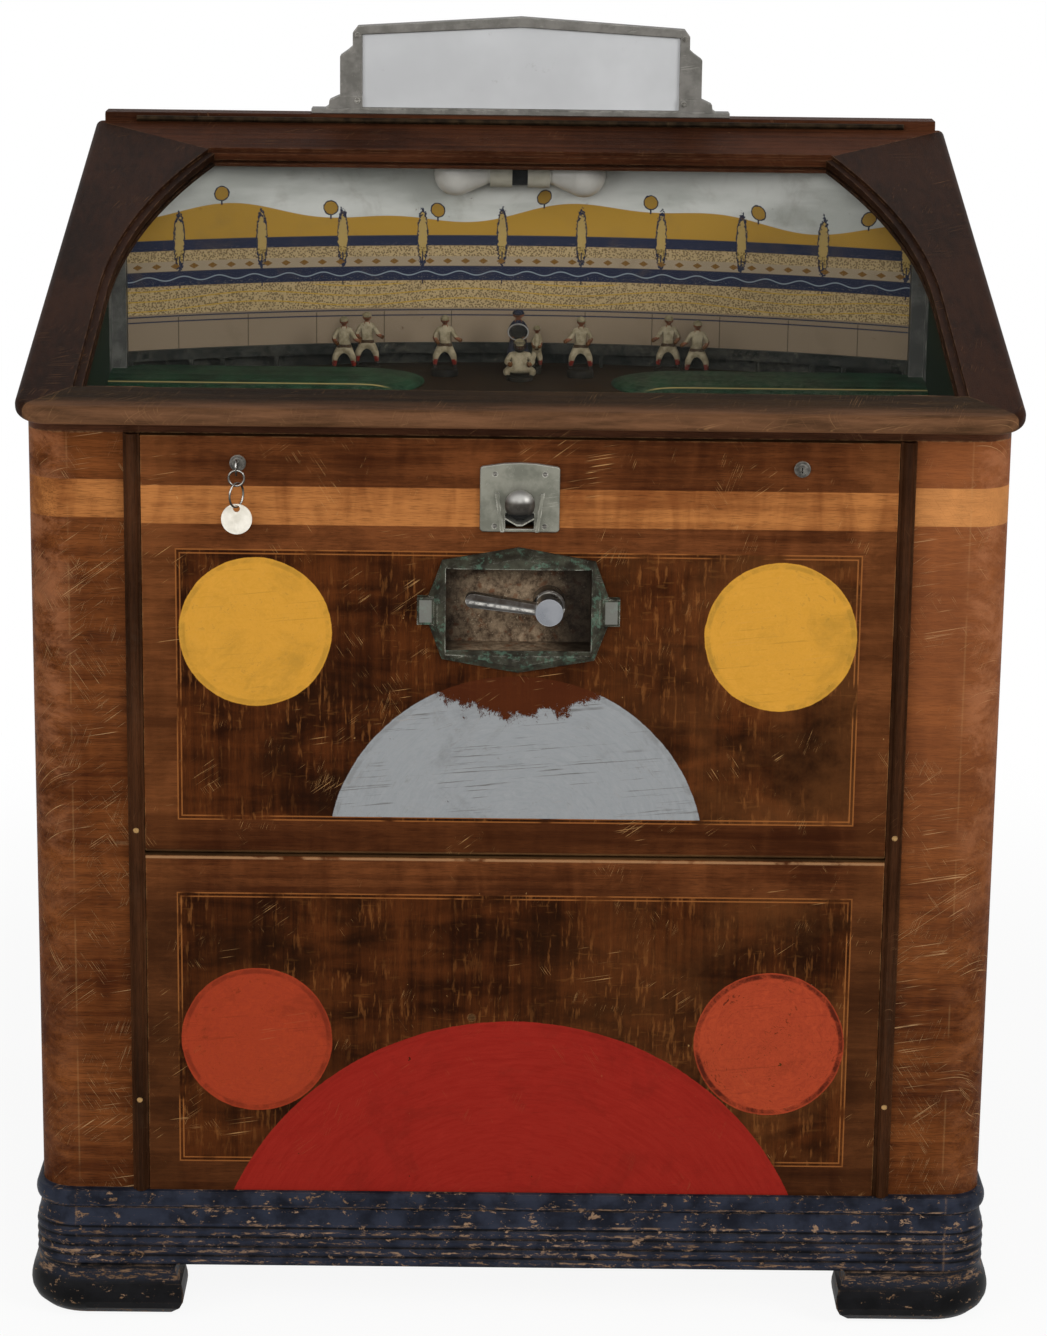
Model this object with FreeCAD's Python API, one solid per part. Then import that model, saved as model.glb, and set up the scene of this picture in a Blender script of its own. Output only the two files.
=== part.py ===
# Coin-operated pin game on a floor-standing console cabinet.
# Millimetres. X to the right seen from the front, Y to the back, Z up.
# The origin is on the floor, at the middle of the overall width and depth.
import FreeCAD
import Part
import math
import os

V = FreeCAD.Vector
os.makedirs("parts", exist_ok=True)

# Overall sizes of the cabinet and its hood
CABINET_WIDTH = 1028.0
HOOD_OVERHANG = 6.0
OVERALL_DEPTH = 870.0
NOSE_OVERHANG = 45.0
PILLAR_SETBACK = 6.0

# Heights above the floor
FOOT_HEIGHT = 62.0
PLINTH_TOP = 148.0
PANEL_JOINT = 528.5
NOSE_TOP = 1016.7
HEAD_DROP = 33.2
TOP_BOARD_RISE = 10.35

# Board thicknesses and running gaps
BOARD = 19.0
SIDE_BOARD = 20.0
GAP = 1.5
SEAT = 0.5
FIT = 0.05
FREE = 0.3

# Sloping hood frame, measured up the slope from its nose
HOOD_SLOPE = 14.12
HOOD_THICK = 20.0
HOOD_CORNER = 35.0
HOOD_ROUND = 8.5
WINDOW_FRONT = 66.4
REAR_RAIL = 100.0
STILE_WIDTH = 66.0
WINDOW_STRAIGHT = 0.37
WINDOW_CURVE_RATIO = 2.622
BEAD_WIDTH = 9.0
BEAD_DROP = 4.0
GLASS_DEPTH = 12.0
GLASS_THICK = 4.0
GROOVE_DEPTH = 8.0
GROOVE_PLAY = 0.1
GLASS_EDGE_PLAY = 1.0

# Long hinge between the hood and the top board
KNUCKLE_R = 3.2
HINGE_PIN_R = 1.2
HINGE_LEAF = 0.8
HINGE_INSET = 39.0
HINGE_JOINT = 2.0
HINGE_KNUCKLES = 13
LEAF_DROP = 17.0

# Front corner pillars and the bead trims beside the doors
PILLAR_WIDTH = 119.0
PILLAR_DEPTH = 54.0
PILLAR_ROUND = 40.0
DOOR_SIDE_GAP = 1.5
TRIM_WIDTH = 17.0
TRIM_PROUD = 6.0
TRIM_BEAD_R = 6.0
TRIM_SIDE_GAP = 0.7
PLUG_R = 3.2
PLUG_SINK = 1.5
PLUG_HEIGHTS = (557.0, 253.0)

# Header rail over the door
HEADER_DEPTH = 32.0
LIP_DROP = 17.5

# Plinth moulding, its points measured outwards from the cabinet face
PLINTH_PROUD = 7.5
PLINTH_BEAD = 20.0
PLINTH_BEAD_ROUND = 5.0
PLINTH_COVE = 22.0
PLINTH_COVE_DEPTH = 5.0
REED_COUNT = 4
REED_ROUND = 2.8

# Bracket feet
FOOT_LENGTH = 173.0
FOOT_BULGE = 16.0
FOOT_WALL = 46.0

# Drop-front door and its pivots
DOOR_PIN_R = 3.0
DOOR_PIN_IN = 28.0
DOOR_PIN_OUT = 30.0
KEYHOLE_X = -45.0
KEYHOLE_Z = 349.0
KEYHOLE_R = 4.0
KEYHOLE_DEPTH = 3.0

# Coin plate
COIN_HALF = 41.5
COIN_BOTTOM = 884.6
COIN_SHOULDER = 953.5
COIN_PEAK = 958.0
COIN_THICK = 4.0
COIN_SCREW_X = 26.0
COIN_SCREW_Z = (891.0, 946.0)
COIN_SCREW_R = 2.6
SCREW_SINK = 0.6
RIDGE_TOP_HALF = 25.5
RIDGE_BOTTOM_HALF = 19.7
RIDGE_TOP = 926.0
RIDGE_PROUD = 5.0
RIDGE_WALL = 3.5
MOUTH_HALF = 15.0
MOUTH_BOTTOM = 888.0
MOUTH_TOP = 905.0
THUMB_R = 15.5
THUMB_BOTTOM = 906.5
THUMB_CENTRE = 915.5
THUMB_RIM = 3.0
THUMB_DOME = 9.0
THUMB_TRAVEL = 8.0
THUMB_STEM_R = 5.0
THUMB_STEM_IN = 12.0
CRADLE_DROP = 7.0
CRADLE_SIDE_Z = 899.0
CRADLE_FLAT = 3.0
CRADLE_THICK = 1.6
CRADLE_FRONT = 8.0
CRADLE_REAR = 14.0

# Coin chute behind the door
CHUTE_DEPTH = 24.0
CHUTE_TOP = 937.0
CHUTE_SHEET = 1.5
CHUTE_HALF = 22.0
CHUTE_X = -118.0
CHUTE_ELBOW = 872.0
CHUTE_END = 560.0

# Lever casting in the door
LEVER_CZ = 801.0
CASTING_PEAK = 67.0
CASTING_CORNER_X = 80.0
CASTING_CORNER_Z = 53.0
CASTING_SIDE_X = 94.0
CASTING_SIDE_Z = 15.0
CASTING_PROUD = 16.0
CASTING_EDGE = 5.0
CASTING_DRAFT = 9.0
LABEL_OUTER = 106.0
LABEL_INNER = 88.0
LABEL_HALF_HEIGHT = 14.5
LABEL_PROUD = 12.0
CAVITY_HALF_W = 76.0
CAVITY_HALF_H = 46.0
CAVITY_DEPTH = 34.0
CAVITY_WALL = 3.0
CAVITY_PLAY = 1.0
SILL_RISE = 4.0
BEARING_LENGTH = 16.0
BEARING_WALL = 6.0

# Lever, its shaft and its crank
LEVER_X = 32.0
LEVER_Z = 803.0
LEVER_HUB_R = 14.4
LEVER_HUB_PROUD = 6.0
LEVER_BOSS_R = 17.0
LEVER_BOSS_LENGTH = 26.0
LEVER_TIP_X = -48.0
LEVER_TIP_Z = 814.0
LEVER_TIP_R = 7.5
LEVER_ROOT_R = 5.3
LEVER_ARM_BACK = 4.0
LEVER_ARM_THICK = 13.0
LEVER_SHAFT_R = 6.0
LEVER_TRAVEL = 28.0
CRANK_RADIUS = 36.0
CRANK_THICK = 8.0
CRANK_HUB_R = 13.0
CRANK_EYE_R = 8.0
CRANK_PIN_R = 4.0

# Rack, pinion and bat
RACK_MODULE = 1.5
BAT_TEETH = 16
BAT_X = -20.0
RACK_Z = 850.0
RACK_HEIGHT = 10.0
RACK_DEPTH = 9.0
RACK_SETBACK = 56.0
RACK_TEETH = 9
RACK_TEETH_AHEAD = 3
FORK_HALF = 10.0
FORK_DROP = 26.0
FORK_BRIDGE = 4.0
FORK_PLAY = 0.7
GUIDE_X = (-72.0, 62.0)
RACK_TAIL = 8.0
RACK_STROKE = 17.5
GUIDE_HALF = 5.0
GUIDE_WALL = 5.0
BAT_LENGTH = 76.0
BAT_REST_ANGLE = 195.0
BAT_TIP_R = 8.0
BAT_ROOT_R = 5.0
BAT_HUB_R = 9.0
BAT_SHAFT_R = 4.0
BAT_LIFT = 7.0
BAT_THICK = 9.0
TOOTH_TIP = 0.28
TOOTH_ROOT = 0.62
ADDENDUM = 0.9
DEDENDUM = 1.25

# Locks, key, rings and tag
LOCK_INSET = 102.5
LOCK_Z = 954.0
LOCK_FLANGE_R = 8.5
LOCK_FLANGE = 2.5
LOCK_BARREL_R = 7.5
LOCK_NUT_R = 11.0
LOCK_NUT = 4.0
LOCK_PLUG_R = 5.0
CAM_LENGTH = 26.0
CAM_HALF = 6.0
CAM_THICK = 3.0
KEY_THICK = 1.5
KEY_REACH = 22.0
KEY_IN = 12.0
KEY_UP = 1.5
KEY_DOWN = 4.0
BOW_R = 9.0
BOW_HOLE_R = 2.6
BOW_HOLE_DROP = 4.5
RING_WIRE = 1.1
SMALL_RING_R = 8.0
BIG_RING_R = 12.5
BIG_RING_TURN = 60.0
TAG_R = 16.0
TAG_THICK = 1.6
TAG_HOLE_R = 3.6
TAG_HOLE_EDGE = 5.0

# Playing field
FIELD_SLOPE = 3.0
FIELD_REAR_Z = 928.0
FIELD_REF_INSET = 45.0
FIELD_THICK = 12.0
FIELD_SIDE_GAP = 1.0
FIELD_FRONT_GAP = 24.0
CLEAT_WIDTH = 20.0
CLEAT_HEIGHT = 22.0
RUNNER_R = 100.0
RUNNER_THICK = 8.0
RUNNER_RING = 78.0
RUNNER_COUNT = 4
RUNNER_SHAFT_R = 8.0
GEAR_MODULE = 2.0
RUNNER_TEETH = 60
MOTOR_TEETH = 15
GEAR_THICK = 8.0
GEAR_DROP = 24.0
MOTOR_SHAFT_R = 5.0
BRIDGE_DROP = 66.0
BRIDGE_BAR = 6.0
BRIDGE_HALF = 22.0
BRIDGE_POST = 8.0
CUP_HEIGHT = 16.0
GEARBOX_HALF = 34.0
GEARBOX_HEIGHT = 40.0
MOTOR_CAN_R = 30.0
MOTOR_CAN_LENGTH = 60.0
APRON_TIP_X = 114.0
APRON_INSET = 101.0
APRON_DEPTH = 82.0
APRON_RISE = 17.0
APRON_KERB = 2.0

# Curved backdrop and the pocket rim at its foot
BACKDROP_BOW = 104.1
BACKDROP_INSET = 17.0
BACKDROP_SIDE_GAP = 20.0
BACKDROP_THICK = 2.0
BACKDROP_FOOT = 946.0
BACKDROP_HEAD_GAP = 1.0
RIM_THICK = 4.0
RIM_TOP = 957.0
POCKET_TOP = 944.0
POCKET_DEPTH = 14.0
POCKET_ROUND = 5.0
DIVIDER_HALF = 2.0
DIVIDER_SHARES = (0.219, 0.629, 0.766, 0.844)
POST_SHEET = 2.0
POST_AHEAD = 14.0
POST_FLANGE = 14.0
POST_HEAD_DROP = 29.0

# Lamps under the hood's rear rail
LAMP_INSET = 33.0
LAMP_DROP = 29.0
BULB_R = 27.0
BULB_X = 78.0
BULB_CAP_R = 11.2
SOCKET_R = 16.0
SOCKET_BORE_R = 11.5
SOCKET_LENGTH = 27.0
LAMP_BLOCK_HALF = 9.5
LAMP_BLOCK_RISE = 12.0
LAMP_STRAP = 3.0

# Sign on the top board
SIGN_DEPTH = 29.0
SIGN_BASE_HALF = 257.0
SIGN_STEP_HALF = 236.0
SIGN_BODY_HALF = 222.0
SIGN_NECK_HALF = 212.0
SIGN_HEAD_HALF = 206.5
SIGN_PEAK_RISE = 119.0
SIGN_SHOULDER_RISE = 106.0
SIGN_NECK_RISE = 70.0
SIGN_BORDER = 12.0
SIGN_WALL = 4.0
SIGN_GLASS_THICK = 3.0
SIGN_GLASS_LAP = 6.0
SIGN_SCREW_R = 3.6
SIGN_SCREW_X = 200.5
SIGN_FACE_SET = 3.0
SIGN_STEP_SET = 1.5
SIGN_SCREW_SEATS = ((95.0, SIGN_FACE_SET), (16.0, SIGN_STEP_SET))
SIGN_SCREW_HEAD = 1.8
SIGN_SCREW_SLOT = 0.5

# Top board and back door
TOP_BOARD_THICK = 31.0
TOP_BOARD_DEPTH = 39.2
TOP_BOARD_SIDE = 5.0
TOP_BOARD_ROUND = 4.0
BACK_DOOR_STILE = 164.0
BACK_DOOR_BOTTOM = 150.0
BACK_DOOR_TOP = 850.0
BACK_DOOR_THICK = 15.0
BACK_DOOR_SINK = 2.0
BACK_PIN_IN = 20.0
FINGER_PULL_R = 16.0
FINGER_PULL_DEPTH = 6.0
FINGER_PULL_EDGE = 40.0
FINGER_PULL_Z = 500.0

# Pieces on the bottom board
CASH_WIDTH = 190.0
CASH_DEPTH = 150.0
CASH_HEIGHT = 130.0
CASH_SHEET = 1.5
CASH_FRONT_GAP = 8.0
CORE_WIDTH = 100.0
CORE_DEPTH = 70.0
CORE_HEIGHT = 82.0
COIL_OUT = 16.0
CORE_X = 240.0
CORE_Y = 95.0

# Planes and places that follow from the sizes above
DOOR_HEAD = NOSE_TOP - HEAD_DROP
Y_FRONT = -OVERALL_DEPTH / 2.0
Y_BACK = OVERALL_DEPTH / 2.0
Y_BACK_IN = Y_BACK - BOARD
Y_DOOR = Y_FRONT + NOSE_OVERHANG
Y_DOOR_IN = Y_DOOR + BOARD
Y_PILLAR = Y_DOOR + PILLAR_SETBACK
Y_PILLAR_REAR = Y_PILLAR + PILLAR_DEPTH
Y_LIP_REAR = Y_PILLAR + HEADER_DEPTH
HALF = CABINET_WIDTH / 2.0
SIDE_IN = HALF - SIDE_BOARD
PILLAR_INNER = HALF - PILLAR_WIDTH
LOCK_X = PILLAR_INNER - LOCK_INSET
BACK_DOOR_HALF = SIDE_IN - BACK_DOOR_STILE
HOOD_HALF = HALF + HOOD_OVERHANG
SLOPE_RAD = math.radians(HOOD_SLOPE)
SLOPE_TAN = math.tan(SLOPE_RAD)
SLOPE_COS = math.cos(SLOPE_RAD)
SLOPE_SIN = math.sin(SLOPE_RAD)
# The sharp top edge of the sloping nose lies this far ahead of its rounded front
Y_NOSE = Y_FRONT - HOOD_ROUND * (SLOPE_COS + SLOPE_SIN - 1.0)
TOP_BOARD_FRONT = Y_BACK - TOP_BOARD_DEPTH
HOOD_END_Y = TOP_BOARD_FRONT - HINGE_JOINT
HOOD_LENGTH = (HOOD_END_Y - Y_NOSE) / SLOPE_COS
HOOD_END_Z = NOSE_TOP + HOOD_LENGTH * SLOPE_SIN
TOP_BOARD_TOP = HOOD_END_Z + TOP_BOARD_RISE
TOP_BOARD_BOTTOM = TOP_BOARD_TOP - TOP_BOARD_THICK
TOP_BOARD_HALF = HALF - TOP_BOARD_SIDE
HINGE_HALF = TOP_BOARD_HALF - HINGE_INSET
WINDOW_HALF = HOOD_HALF - STILE_WIDTH
WINDOW_REAR = HOOD_LENGTH - REAR_RAIL
WINDOW_CURVE_START = WINDOW_FRONT + WINDOW_STRAIGHT * (WINDOW_REAR - WINDOW_FRONT)
WINDOW_CURVE_R = WINDOW_CURVE_RATIO * (WINDOW_REAR - WINDOW_CURVE_START)
SIGN_PEAK = TOP_BOARD_TOP + SIGN_PEAK_RISE
SIGN_SHOULDER = TOP_BOARD_TOP + SIGN_SHOULDER_RISE
SIGN_NECK_Z = TOP_BOARD_TOP + SIGN_NECK_RISE
FLOOR_TOP = FOOT_HEIGHT + BOARD
DOOR_HALF = PILLAR_INNER - DOOR_SIDE_GAP
DOOR_BOTTOM = PANEL_JOINT + GAP
DOOR_TOP = DOOR_HEAD - GAP
DOOR_AXIS_Y = Y_DOOR + BOARD / 2.0
DOOR_AXIS_Z = DOOR_BOTTOM + BOARD / 2.0
FIELD_TAN = math.tan(math.radians(FIELD_SLOPE))
FIELD_HALF = SIDE_IN - FIELD_SIDE_GAP
FIELD_FRONT = Y_LIP_REAR + FIELD_FRONT_GAP
FIELD_BACK = Y_BACK_IN - GAP
Y_PAN = Y_DOOR + CAVITY_DEPTH
Y_CRANK = Y_PAN + BEARING_LENGTH + 1.0
LEVER_LEAN = math.radians(LEVER_TRAVEL / 2.0)
CRANK_PIN_X = LEVER_X + CRANK_RADIUS * math.sin(LEVER_LEAN)
CRANK_PIN_Z = LEVER_Z + CRANK_RADIUS * math.cos(LEVER_LEAN)
RACK_Y = Y_DOOR_IN + RACK_SETBACK
RACK_ROOT_Y = RACK_Y + RACK_DEPTH
BAT_Y = RACK_ROOT_Y + (DEDENDUM + BAT_TEETH / 2.0) * RACK_MODULE
MOTOR_ARM = GEAR_MODULE * (RUNNER_TEETH + MOTOR_TEETH) / 2.0
BACK_AXIS_X = BACK_DOOR_HALF - BACK_DOOR_THICK / 2.0
BACK_AXIS_Y = Y_BACK - BACK_DOOR_SINK - BACK_DOOR_THICK / 2.0
LOCK_REAR = Y_LIP_REAR + SEAT
KEY_BOW_Y = Y_DOOR - KEY_REACH
KEY_HOLE_Z = LOCK_Z - BOW_HOLE_DROP
SMALL_RING_Z = KEY_HOLE_Z - SMALL_RING_R + 0.4
BIG_RING_Z = SMALL_RING_Z - SMALL_RING_R - BIG_RING_R + 3.0
TAG_Z = BIG_RING_Z - BIG_RING_R - 1.8 + TAG_HOLE_EDGE - TAG_R
HINGE_Y = TOP_BOARD_FRONT - KNUCKLE_R - 0.2
HINGE_Z = HOOD_END_Z + KNUCKLE_R + 0.5
FIELD_REF_Y = Y_BACK - FIELD_REF_INSET


def under_hood(y):
    """Height of the underside of the hood at the depth y."""
    return NOSE_TOP + (y - Y_NOSE) * SLOPE_TAN - HOOD_THICK / SLOPE_COS


# The backdrop fills the width behind the field and reaches up to the hood
BACKDROP_Y = Y_BACK_IN - BACKDROP_INSET
BACKDROP_HALF = SIDE_IN - BACKDROP_SIDE_GAP
BACKDROP_R = (BACKDROP_HALF ** 2 + BACKDROP_BOW ** 2) / (2.0 * BACKDROP_BOW)
BACKDROP_HEAD = under_hood(BACKDROP_Y - BACKDROP_BOW) - BACKDROP_HEAD_GAP
DIVIDERS = [share * BACKDROP_HALF for share in DIVIDER_SHARES]
POST_HEAD = BACKDROP_HEAD - POST_HEAD_DROP
APRON_REAR_Y = BACKDROP_Y - APRON_INSET
LAMP_Y = BACKDROP_Y - LAMP_INSET
LAMP_Z = under_hood(LAMP_Y) - LAMP_DROP


def field_z(y):
    """Height of the top of the playing field at the depth y."""
    return FIELD_REAR_Z + (y - FIELD_REF_Y) * FIELD_TAN


def box(x0, x1, y0, y1, z0, z1):
    return Part.makeBox(x1 - x0, y1 - y0, z1 - z0, V(x0, y0, z0))


def rod(r, start, end):
    a = V(*start)
    b = V(*end)
    return Part.makeCylinder(r, (b - a).Length, a, b - a)


def cone(r0, r1, start, end):
    a = V(*start)
    b = V(*end)
    return Part.makeCone(r0, r1, (b - a).Length, a, b - a)


def ball(r, x, y, z):
    return Part.makeSphere(r, V(x, y, z))


def face_of(points):
    corners = [V(*p) for p in points]
    return Part.Face(Part.makePolygon(corners + corners[:1]))


def prism_xz(points, y0, y1):
    """A solid whose outline is drawn on the front, from depth y0 to y1."""
    return face_of([(x, y0, z) for x, z in points]).extrude(V(0, y1 - y0, 0))


def prism_yz(points, x0, x1):
    """A solid whose outline is drawn on the side, from x0 to x1."""
    return face_of([(x0, y, z) for y, z in points]).extrude(V(x1 - x0, 0, 0))


def prism_xy(points, z0, z1):
    """A solid whose outline is drawn in plan, from height z0 to z1."""
    return face_of([(x, y, z0) for x, y in points]).extrude(V(0, 0, z1 - z0))


def joined(shapes):
    whole = shapes[0]
    for shape in shapes[1:]:
        whole = whole.fuse(shape)
    return whole.removeSplitter()


def mirrored(shape):
    return shape.mirror(V(0, 0, 0), V(1, 0, 0))


def both_sides(shape):
    return [mirrored(shape), shape]


def softened(shape, radius, chosen):
    """Round the edges for which chosen(bounds) is true."""
    edges = [e for e in shape.Edges if chosen(e.BoundBox)]
    return shape.makeFillet(radius, edges)


def save(name, *shapes):
    solids = []
    for shape in shapes:
        solids.extend(shape.Solids)
    whole = solids[0] if len(solids) == 1 else Part.makeCompound(solids)
    whole.exportStep("parts/" + name + ".step")
    b = whole.BoundBox
    print("%-20s %2d solid  x %.0f %.0f  y %.0f %.0f  z %.0f %.0f%s" % (
        name, len(solids), b.XMin, b.XMax, b.YMin, b.YMax, b.ZMin, b.ZMax,
        "" if whole.isValid() else "  not valid"))


# Cabinet body
def corner_plan(inner_x, y_front, y_rear, z0, z1, outer=HALF, radius=PILLAR_ROUND):
    """Upright block from inner_x out to the cabinet's side, its front outer corner rounded."""
    cx = outer - radius
    cy = y_front + radius
    turn = radius * math.sin(math.radians(45.0))
    wire = Part.Wire([
        Part.makeLine(V(inner_x, y_rear, z0), V(inner_x, y_front, z0)),
        Part.makeLine(V(inner_x, y_front, z0), V(cx, y_front, z0)),
        Part.Arc(V(cx, y_front, z0), V(cx + turn, cy - turn, z0), V(outer, cy, z0)).toShape(),
        Part.makeLine(V(outer, cy, z0), V(outer, y_rear, z0)),
        Part.makeLine(V(outer, y_rear, z0), V(inner_x, y_rear, z0)),
    ])
    return Part.Face(wire).extrude(V(0, 0, z1 - z0))


def door_pivots():
    """Pins let into the pillars, on which the drop-front door turns."""
    pin = rod(DOOR_PIN_R, (DOOR_HALF - DOOR_PIN_IN, DOOR_AXIS_Y, DOOR_AXIS_Z),
              (PILLAR_INNER + DOOR_PIN_OUT, DOOR_AXIS_Y, DOOR_AXIS_Z))
    return both_sides(pin)


def pillar():
    post = corner_plan(PILLAR_INNER, Y_PILLAR, Y_PILLAR_REAR, FOOT_HEIGHT, DOOR_HEAD)
    return post.cut(door_pivots()[1])


def side_panel():
    """Side board with the cleat on which the playing field lies."""
    outline = [
        (Y_PILLAR_REAR, FOOT_HEIGHT),
        (Y_BACK, FOOT_HEIGHT),
        (Y_BACK, TOP_BOARD_BOTTOM),
        (TOP_BOARD_FRONT, TOP_BOARD_BOTTOM),
        (TOP_BOARD_FRONT - GAP, under_hood(TOP_BOARD_FRONT - GAP) - SEAT),
        (Y_PILLAR_REAR, under_hood(Y_PILLAR_REAR) - SEAT),
    ]
    panel = prism_yz(outline, SIDE_IN, HALF)
    cleat = box(SIDE_IN - CLEAT_WIDTH, SIDE_IN, FIELD_FRONT, APRON_REAR_Y, -FIELD_THICK - CLEAT_HEIGHT,
                -FIELD_THICK)
    return joined([panel, to_field(cleat)])


def header_rail():
    """Fascia over the door in three mitred lengths, with the lip that the door closes against."""
    y_front = Y_PILLAR - 1.0
    slope = prism_yz([
        (y_front, DOOR_HEAD),
        (Y_PILLAR_REAR, DOOR_HEAD),
        (Y_PILLAR_REAR, under_hood(Y_PILLAR_REAR) - SEAT),
        (y_front, under_hood(y_front) - SEAT),
    ], -HALF - 1.0, HALF + 1.0)
    corner = corner_plan(PILLAR_INNER, Y_PILLAR, Y_PILLAR_REAR, DOOR_HEAD, NOSE_TOP + 3.0 * HOOD_THICK).common(slope)
    middle = box(-PILLAR_INNER, PILLAR_INNER, Y_PILLAR, Y_LIP_REAR, DOOR_HEAD, NOSE_TOP + 3.0 * HOOD_THICK).common(slope)
    lip = box(-PILLAR_INNER, PILLAR_INNER, Y_DOOR_IN + SEAT, Y_LIP_REAR, DOOR_HEAD - LIP_DROP, DOOR_HEAD)
    return [mirrored(corner), joined([middle, lip]), corner]


def swept(profile, radius, front_x0, side_y1, y_front=Y_DOOR):
    """A moulding round the right front corner: profile holds (outward, height) points.

    Returns the front length up to the corner, the corner and the side length as one solid.
    """
    cx = HALF - radius
    cy = y_front + radius
    front = face_of([(front_x0, y_front - n, z) for n, z in profile]).extrude(V(cx - front_x0, 0, 0))
    turn = face_of([(cx, y_front - n, z) for n, z in profile]).revolve(V(cx, cy, 0), V(0, 0, 1), 90)
    side = face_of([(HALF + n, cy, z) for n, z in profile]).extrude(V(0, side_y1 - cy, 0))
    return front, joined([turn, side])


def plinth_profile():
    """Bead, cove and reeds from the top down."""
    inner = -PILLAR_SETBACK - 2.0
    points = [(inner, PLINTH_TOP)]
    bead_mid = PLINTH_TOP - PLINTH_BEAD / 2.0
    flat = PLINTH_PROUD - PLINTH_BEAD_ROUND
    for step in range(9):
        a = math.radians(90.0 - 180.0 * step / 8.0)
        points.append((flat + PLINTH_BEAD_ROUND * math.cos(a), bead_mid + PLINTH_BEAD / 2.0 * math.sin(a)))
    cove_top = PLINTH_TOP - PLINTH_BEAD
    cove_bottom = cove_top - PLINTH_COVE
    for step in range(1, 6):
        t = step / 6.0
        depth = PLINTH_COVE_DEPTH * (1.0 - t * t)
        points.append((PLINTH_PROUD - depth, cove_top - PLINTH_COVE * t))
    reed = (cove_bottom - FOOT_HEIGHT) / REED_COUNT
    for index in range(REED_COUNT):
        mid = cove_bottom - (index + 0.5) * reed
        for step in range(1, 6):
            a = math.radians(90.0 - 180.0 * step / 6.0)
            points.append((PLINTH_PROUD - REED_ROUND + REED_ROUND * math.cos(a), mid + reed / 2.0 * math.sin(a)))
    points.append((PLINTH_PROUD - REED_ROUND, FOOT_HEIGHT))
    points.append((inner, FOOT_HEIGHT))
    return points


def plinth():
    """Plinth moulding in three lengths: front, and one round each corner and side."""
    front, right = swept(plinth_profile(), PILLAR_ROUND, 0.0, Y_BACK)
    front = joined([front, mirrored(front)])
    lengths = [mirrored(right), front, right]
    body = [corner_plan(PILLAR_INNER, Y_PILLAR, Y_PILLAR_REAR, FOOT_HEIGHT, PLINTH_TOP),
            box(SIDE_IN, HALF, Y_PILLAR_REAR, Y_BACK, FOOT_HEIGHT, PLINTH_TOP)]
    for cutter in body:
        for side in both_sides(cutter):
            lengths = [length.cut(side) for length in lengths]
    return [length.cut(lower_panel_blank()) for length in lengths]


def foot_profile():
    """Cushion-shaped face of a bracket foot from the top down."""
    h = FOOT_HEIGHT
    return [
        (-FOOT_WALL, h), (PLINTH_PROUD, h), (PLINTH_PROUD - 1.5, h * 0.9), (PLINTH_PROUD + 1.0, h * 0.8),
        (FOOT_BULGE - 2.5, h * 0.68), (FOOT_BULGE - 0.4, h * 0.54), (FOOT_BULGE, h * 0.44),
        (FOOT_BULGE - 0.8, h * 0.34), (FOOT_BULGE - 5.0, h * 0.2), (FOOT_BULGE - 14.0, h * 0.07),
        (FOOT_BULGE - 26.0, 0.0), (-FOOT_WALL, 0.0),
    ]


def end_rounded(shape, x_end, y0, y1):
    """Give the inner end of a foot the same cushion shape, bulging towards the middle."""
    return shape.common(prism_xz([(x_end - n + FOOT_BULGE, z) for n, z in foot_profile()[1:-1]]
                                 + [(HALF * 2.0, 0.0), (HALF * 2.0, FOOT_HEIGHT)], y0, y1))


def feet():
    inner_x = HALF + FOOT_BULGE - FOOT_LENGTH
    front, corner = swept(foot_profile(), FOOT_WALL + 4.0, inner_x, Y_DOOR - FOOT_BULGE + FOOT_LENGTH)
    front = end_rounded(front, inner_x, Y_NOSE, 0.0)
    front_foot = joined([front, corner])
    rear_side = face_of([(HALF + n, Y_BACK - FOOT_LENGTH, z) for n, z in foot_profile()]).extrude(
        V(0, FOOT_LENGTH, 0))
    rear_wing = box(inner_x, HALF - FOOT_WALL + 1.0, Y_BACK - FOOT_WALL, Y_BACK, 0.0, FOOT_HEIGHT)
    rear_foot = joined([rear_side, end_rounded(rear_wing, inner_x, 0.0, Y_BACK)])
    return both_sides(front_foot) + both_sides(rear_foot)


def trim():
    """Bead strip on the inner edge of a pillar, proud of the door."""
    x0 = DOOR_HALF + TRIM_SIDE_GAP
    y_face = Y_DOOR - TRIM_PROUD
    y_seat = y_face + TRIM_BEAD_R
    strip = box(x0, x0 + TRIM_WIDTH, y_seat, Y_PILLAR, PLINTH_TOP, DOOR_HEAD)
    cx = x0 + TRIM_WIDTH / 2.0
    bead = rod(TRIM_BEAD_R, (cx, y_seat, PLINTH_TOP), (cx, y_seat, DOOR_HEAD))
    rear = box(x0 - 1.0, x0 + TRIM_WIDTH + 1.0, Y_PILLAR, Y_PILLAR + 2.0 * TRIM_BEAD_R, PLINTH_TOP, DOOR_HEAD)
    strip = joined([strip, bead]).cut(rear)
    for z in PLUG_HEIGHTS:
        strip = strip.cut(rod(PLUG_R, (cx, y_face - 1.0, z), (cx, Y_PILLAR, z)))
    return strip


def trim_plugs():
    x = DOOR_HALF + TRIM_SIDE_GAP + TRIM_WIDTH / 2.0
    plugs = []
    for z in PLUG_HEIGHTS:
        plugs.extend(both_sides(rod(PLUG_R, (x, Y_DOOR - TRIM_PROUD + PLUG_SINK, z), (x, Y_PILLAR, z))))
    return plugs


def back_door_pins():
    """Steel pins let into the back panel above and below the door."""
    low = BACK_DOOR_BOTTOM
    high = BACK_DOOR_TOP
    return [rod(DOOR_PIN_R, (BACK_AXIS_X, BACK_AXIS_Y, z - BACK_PIN_IN), (BACK_AXIS_X, BACK_AXIS_Y, z + BACK_PIN_IN))
            for z in (low, high)]


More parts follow.
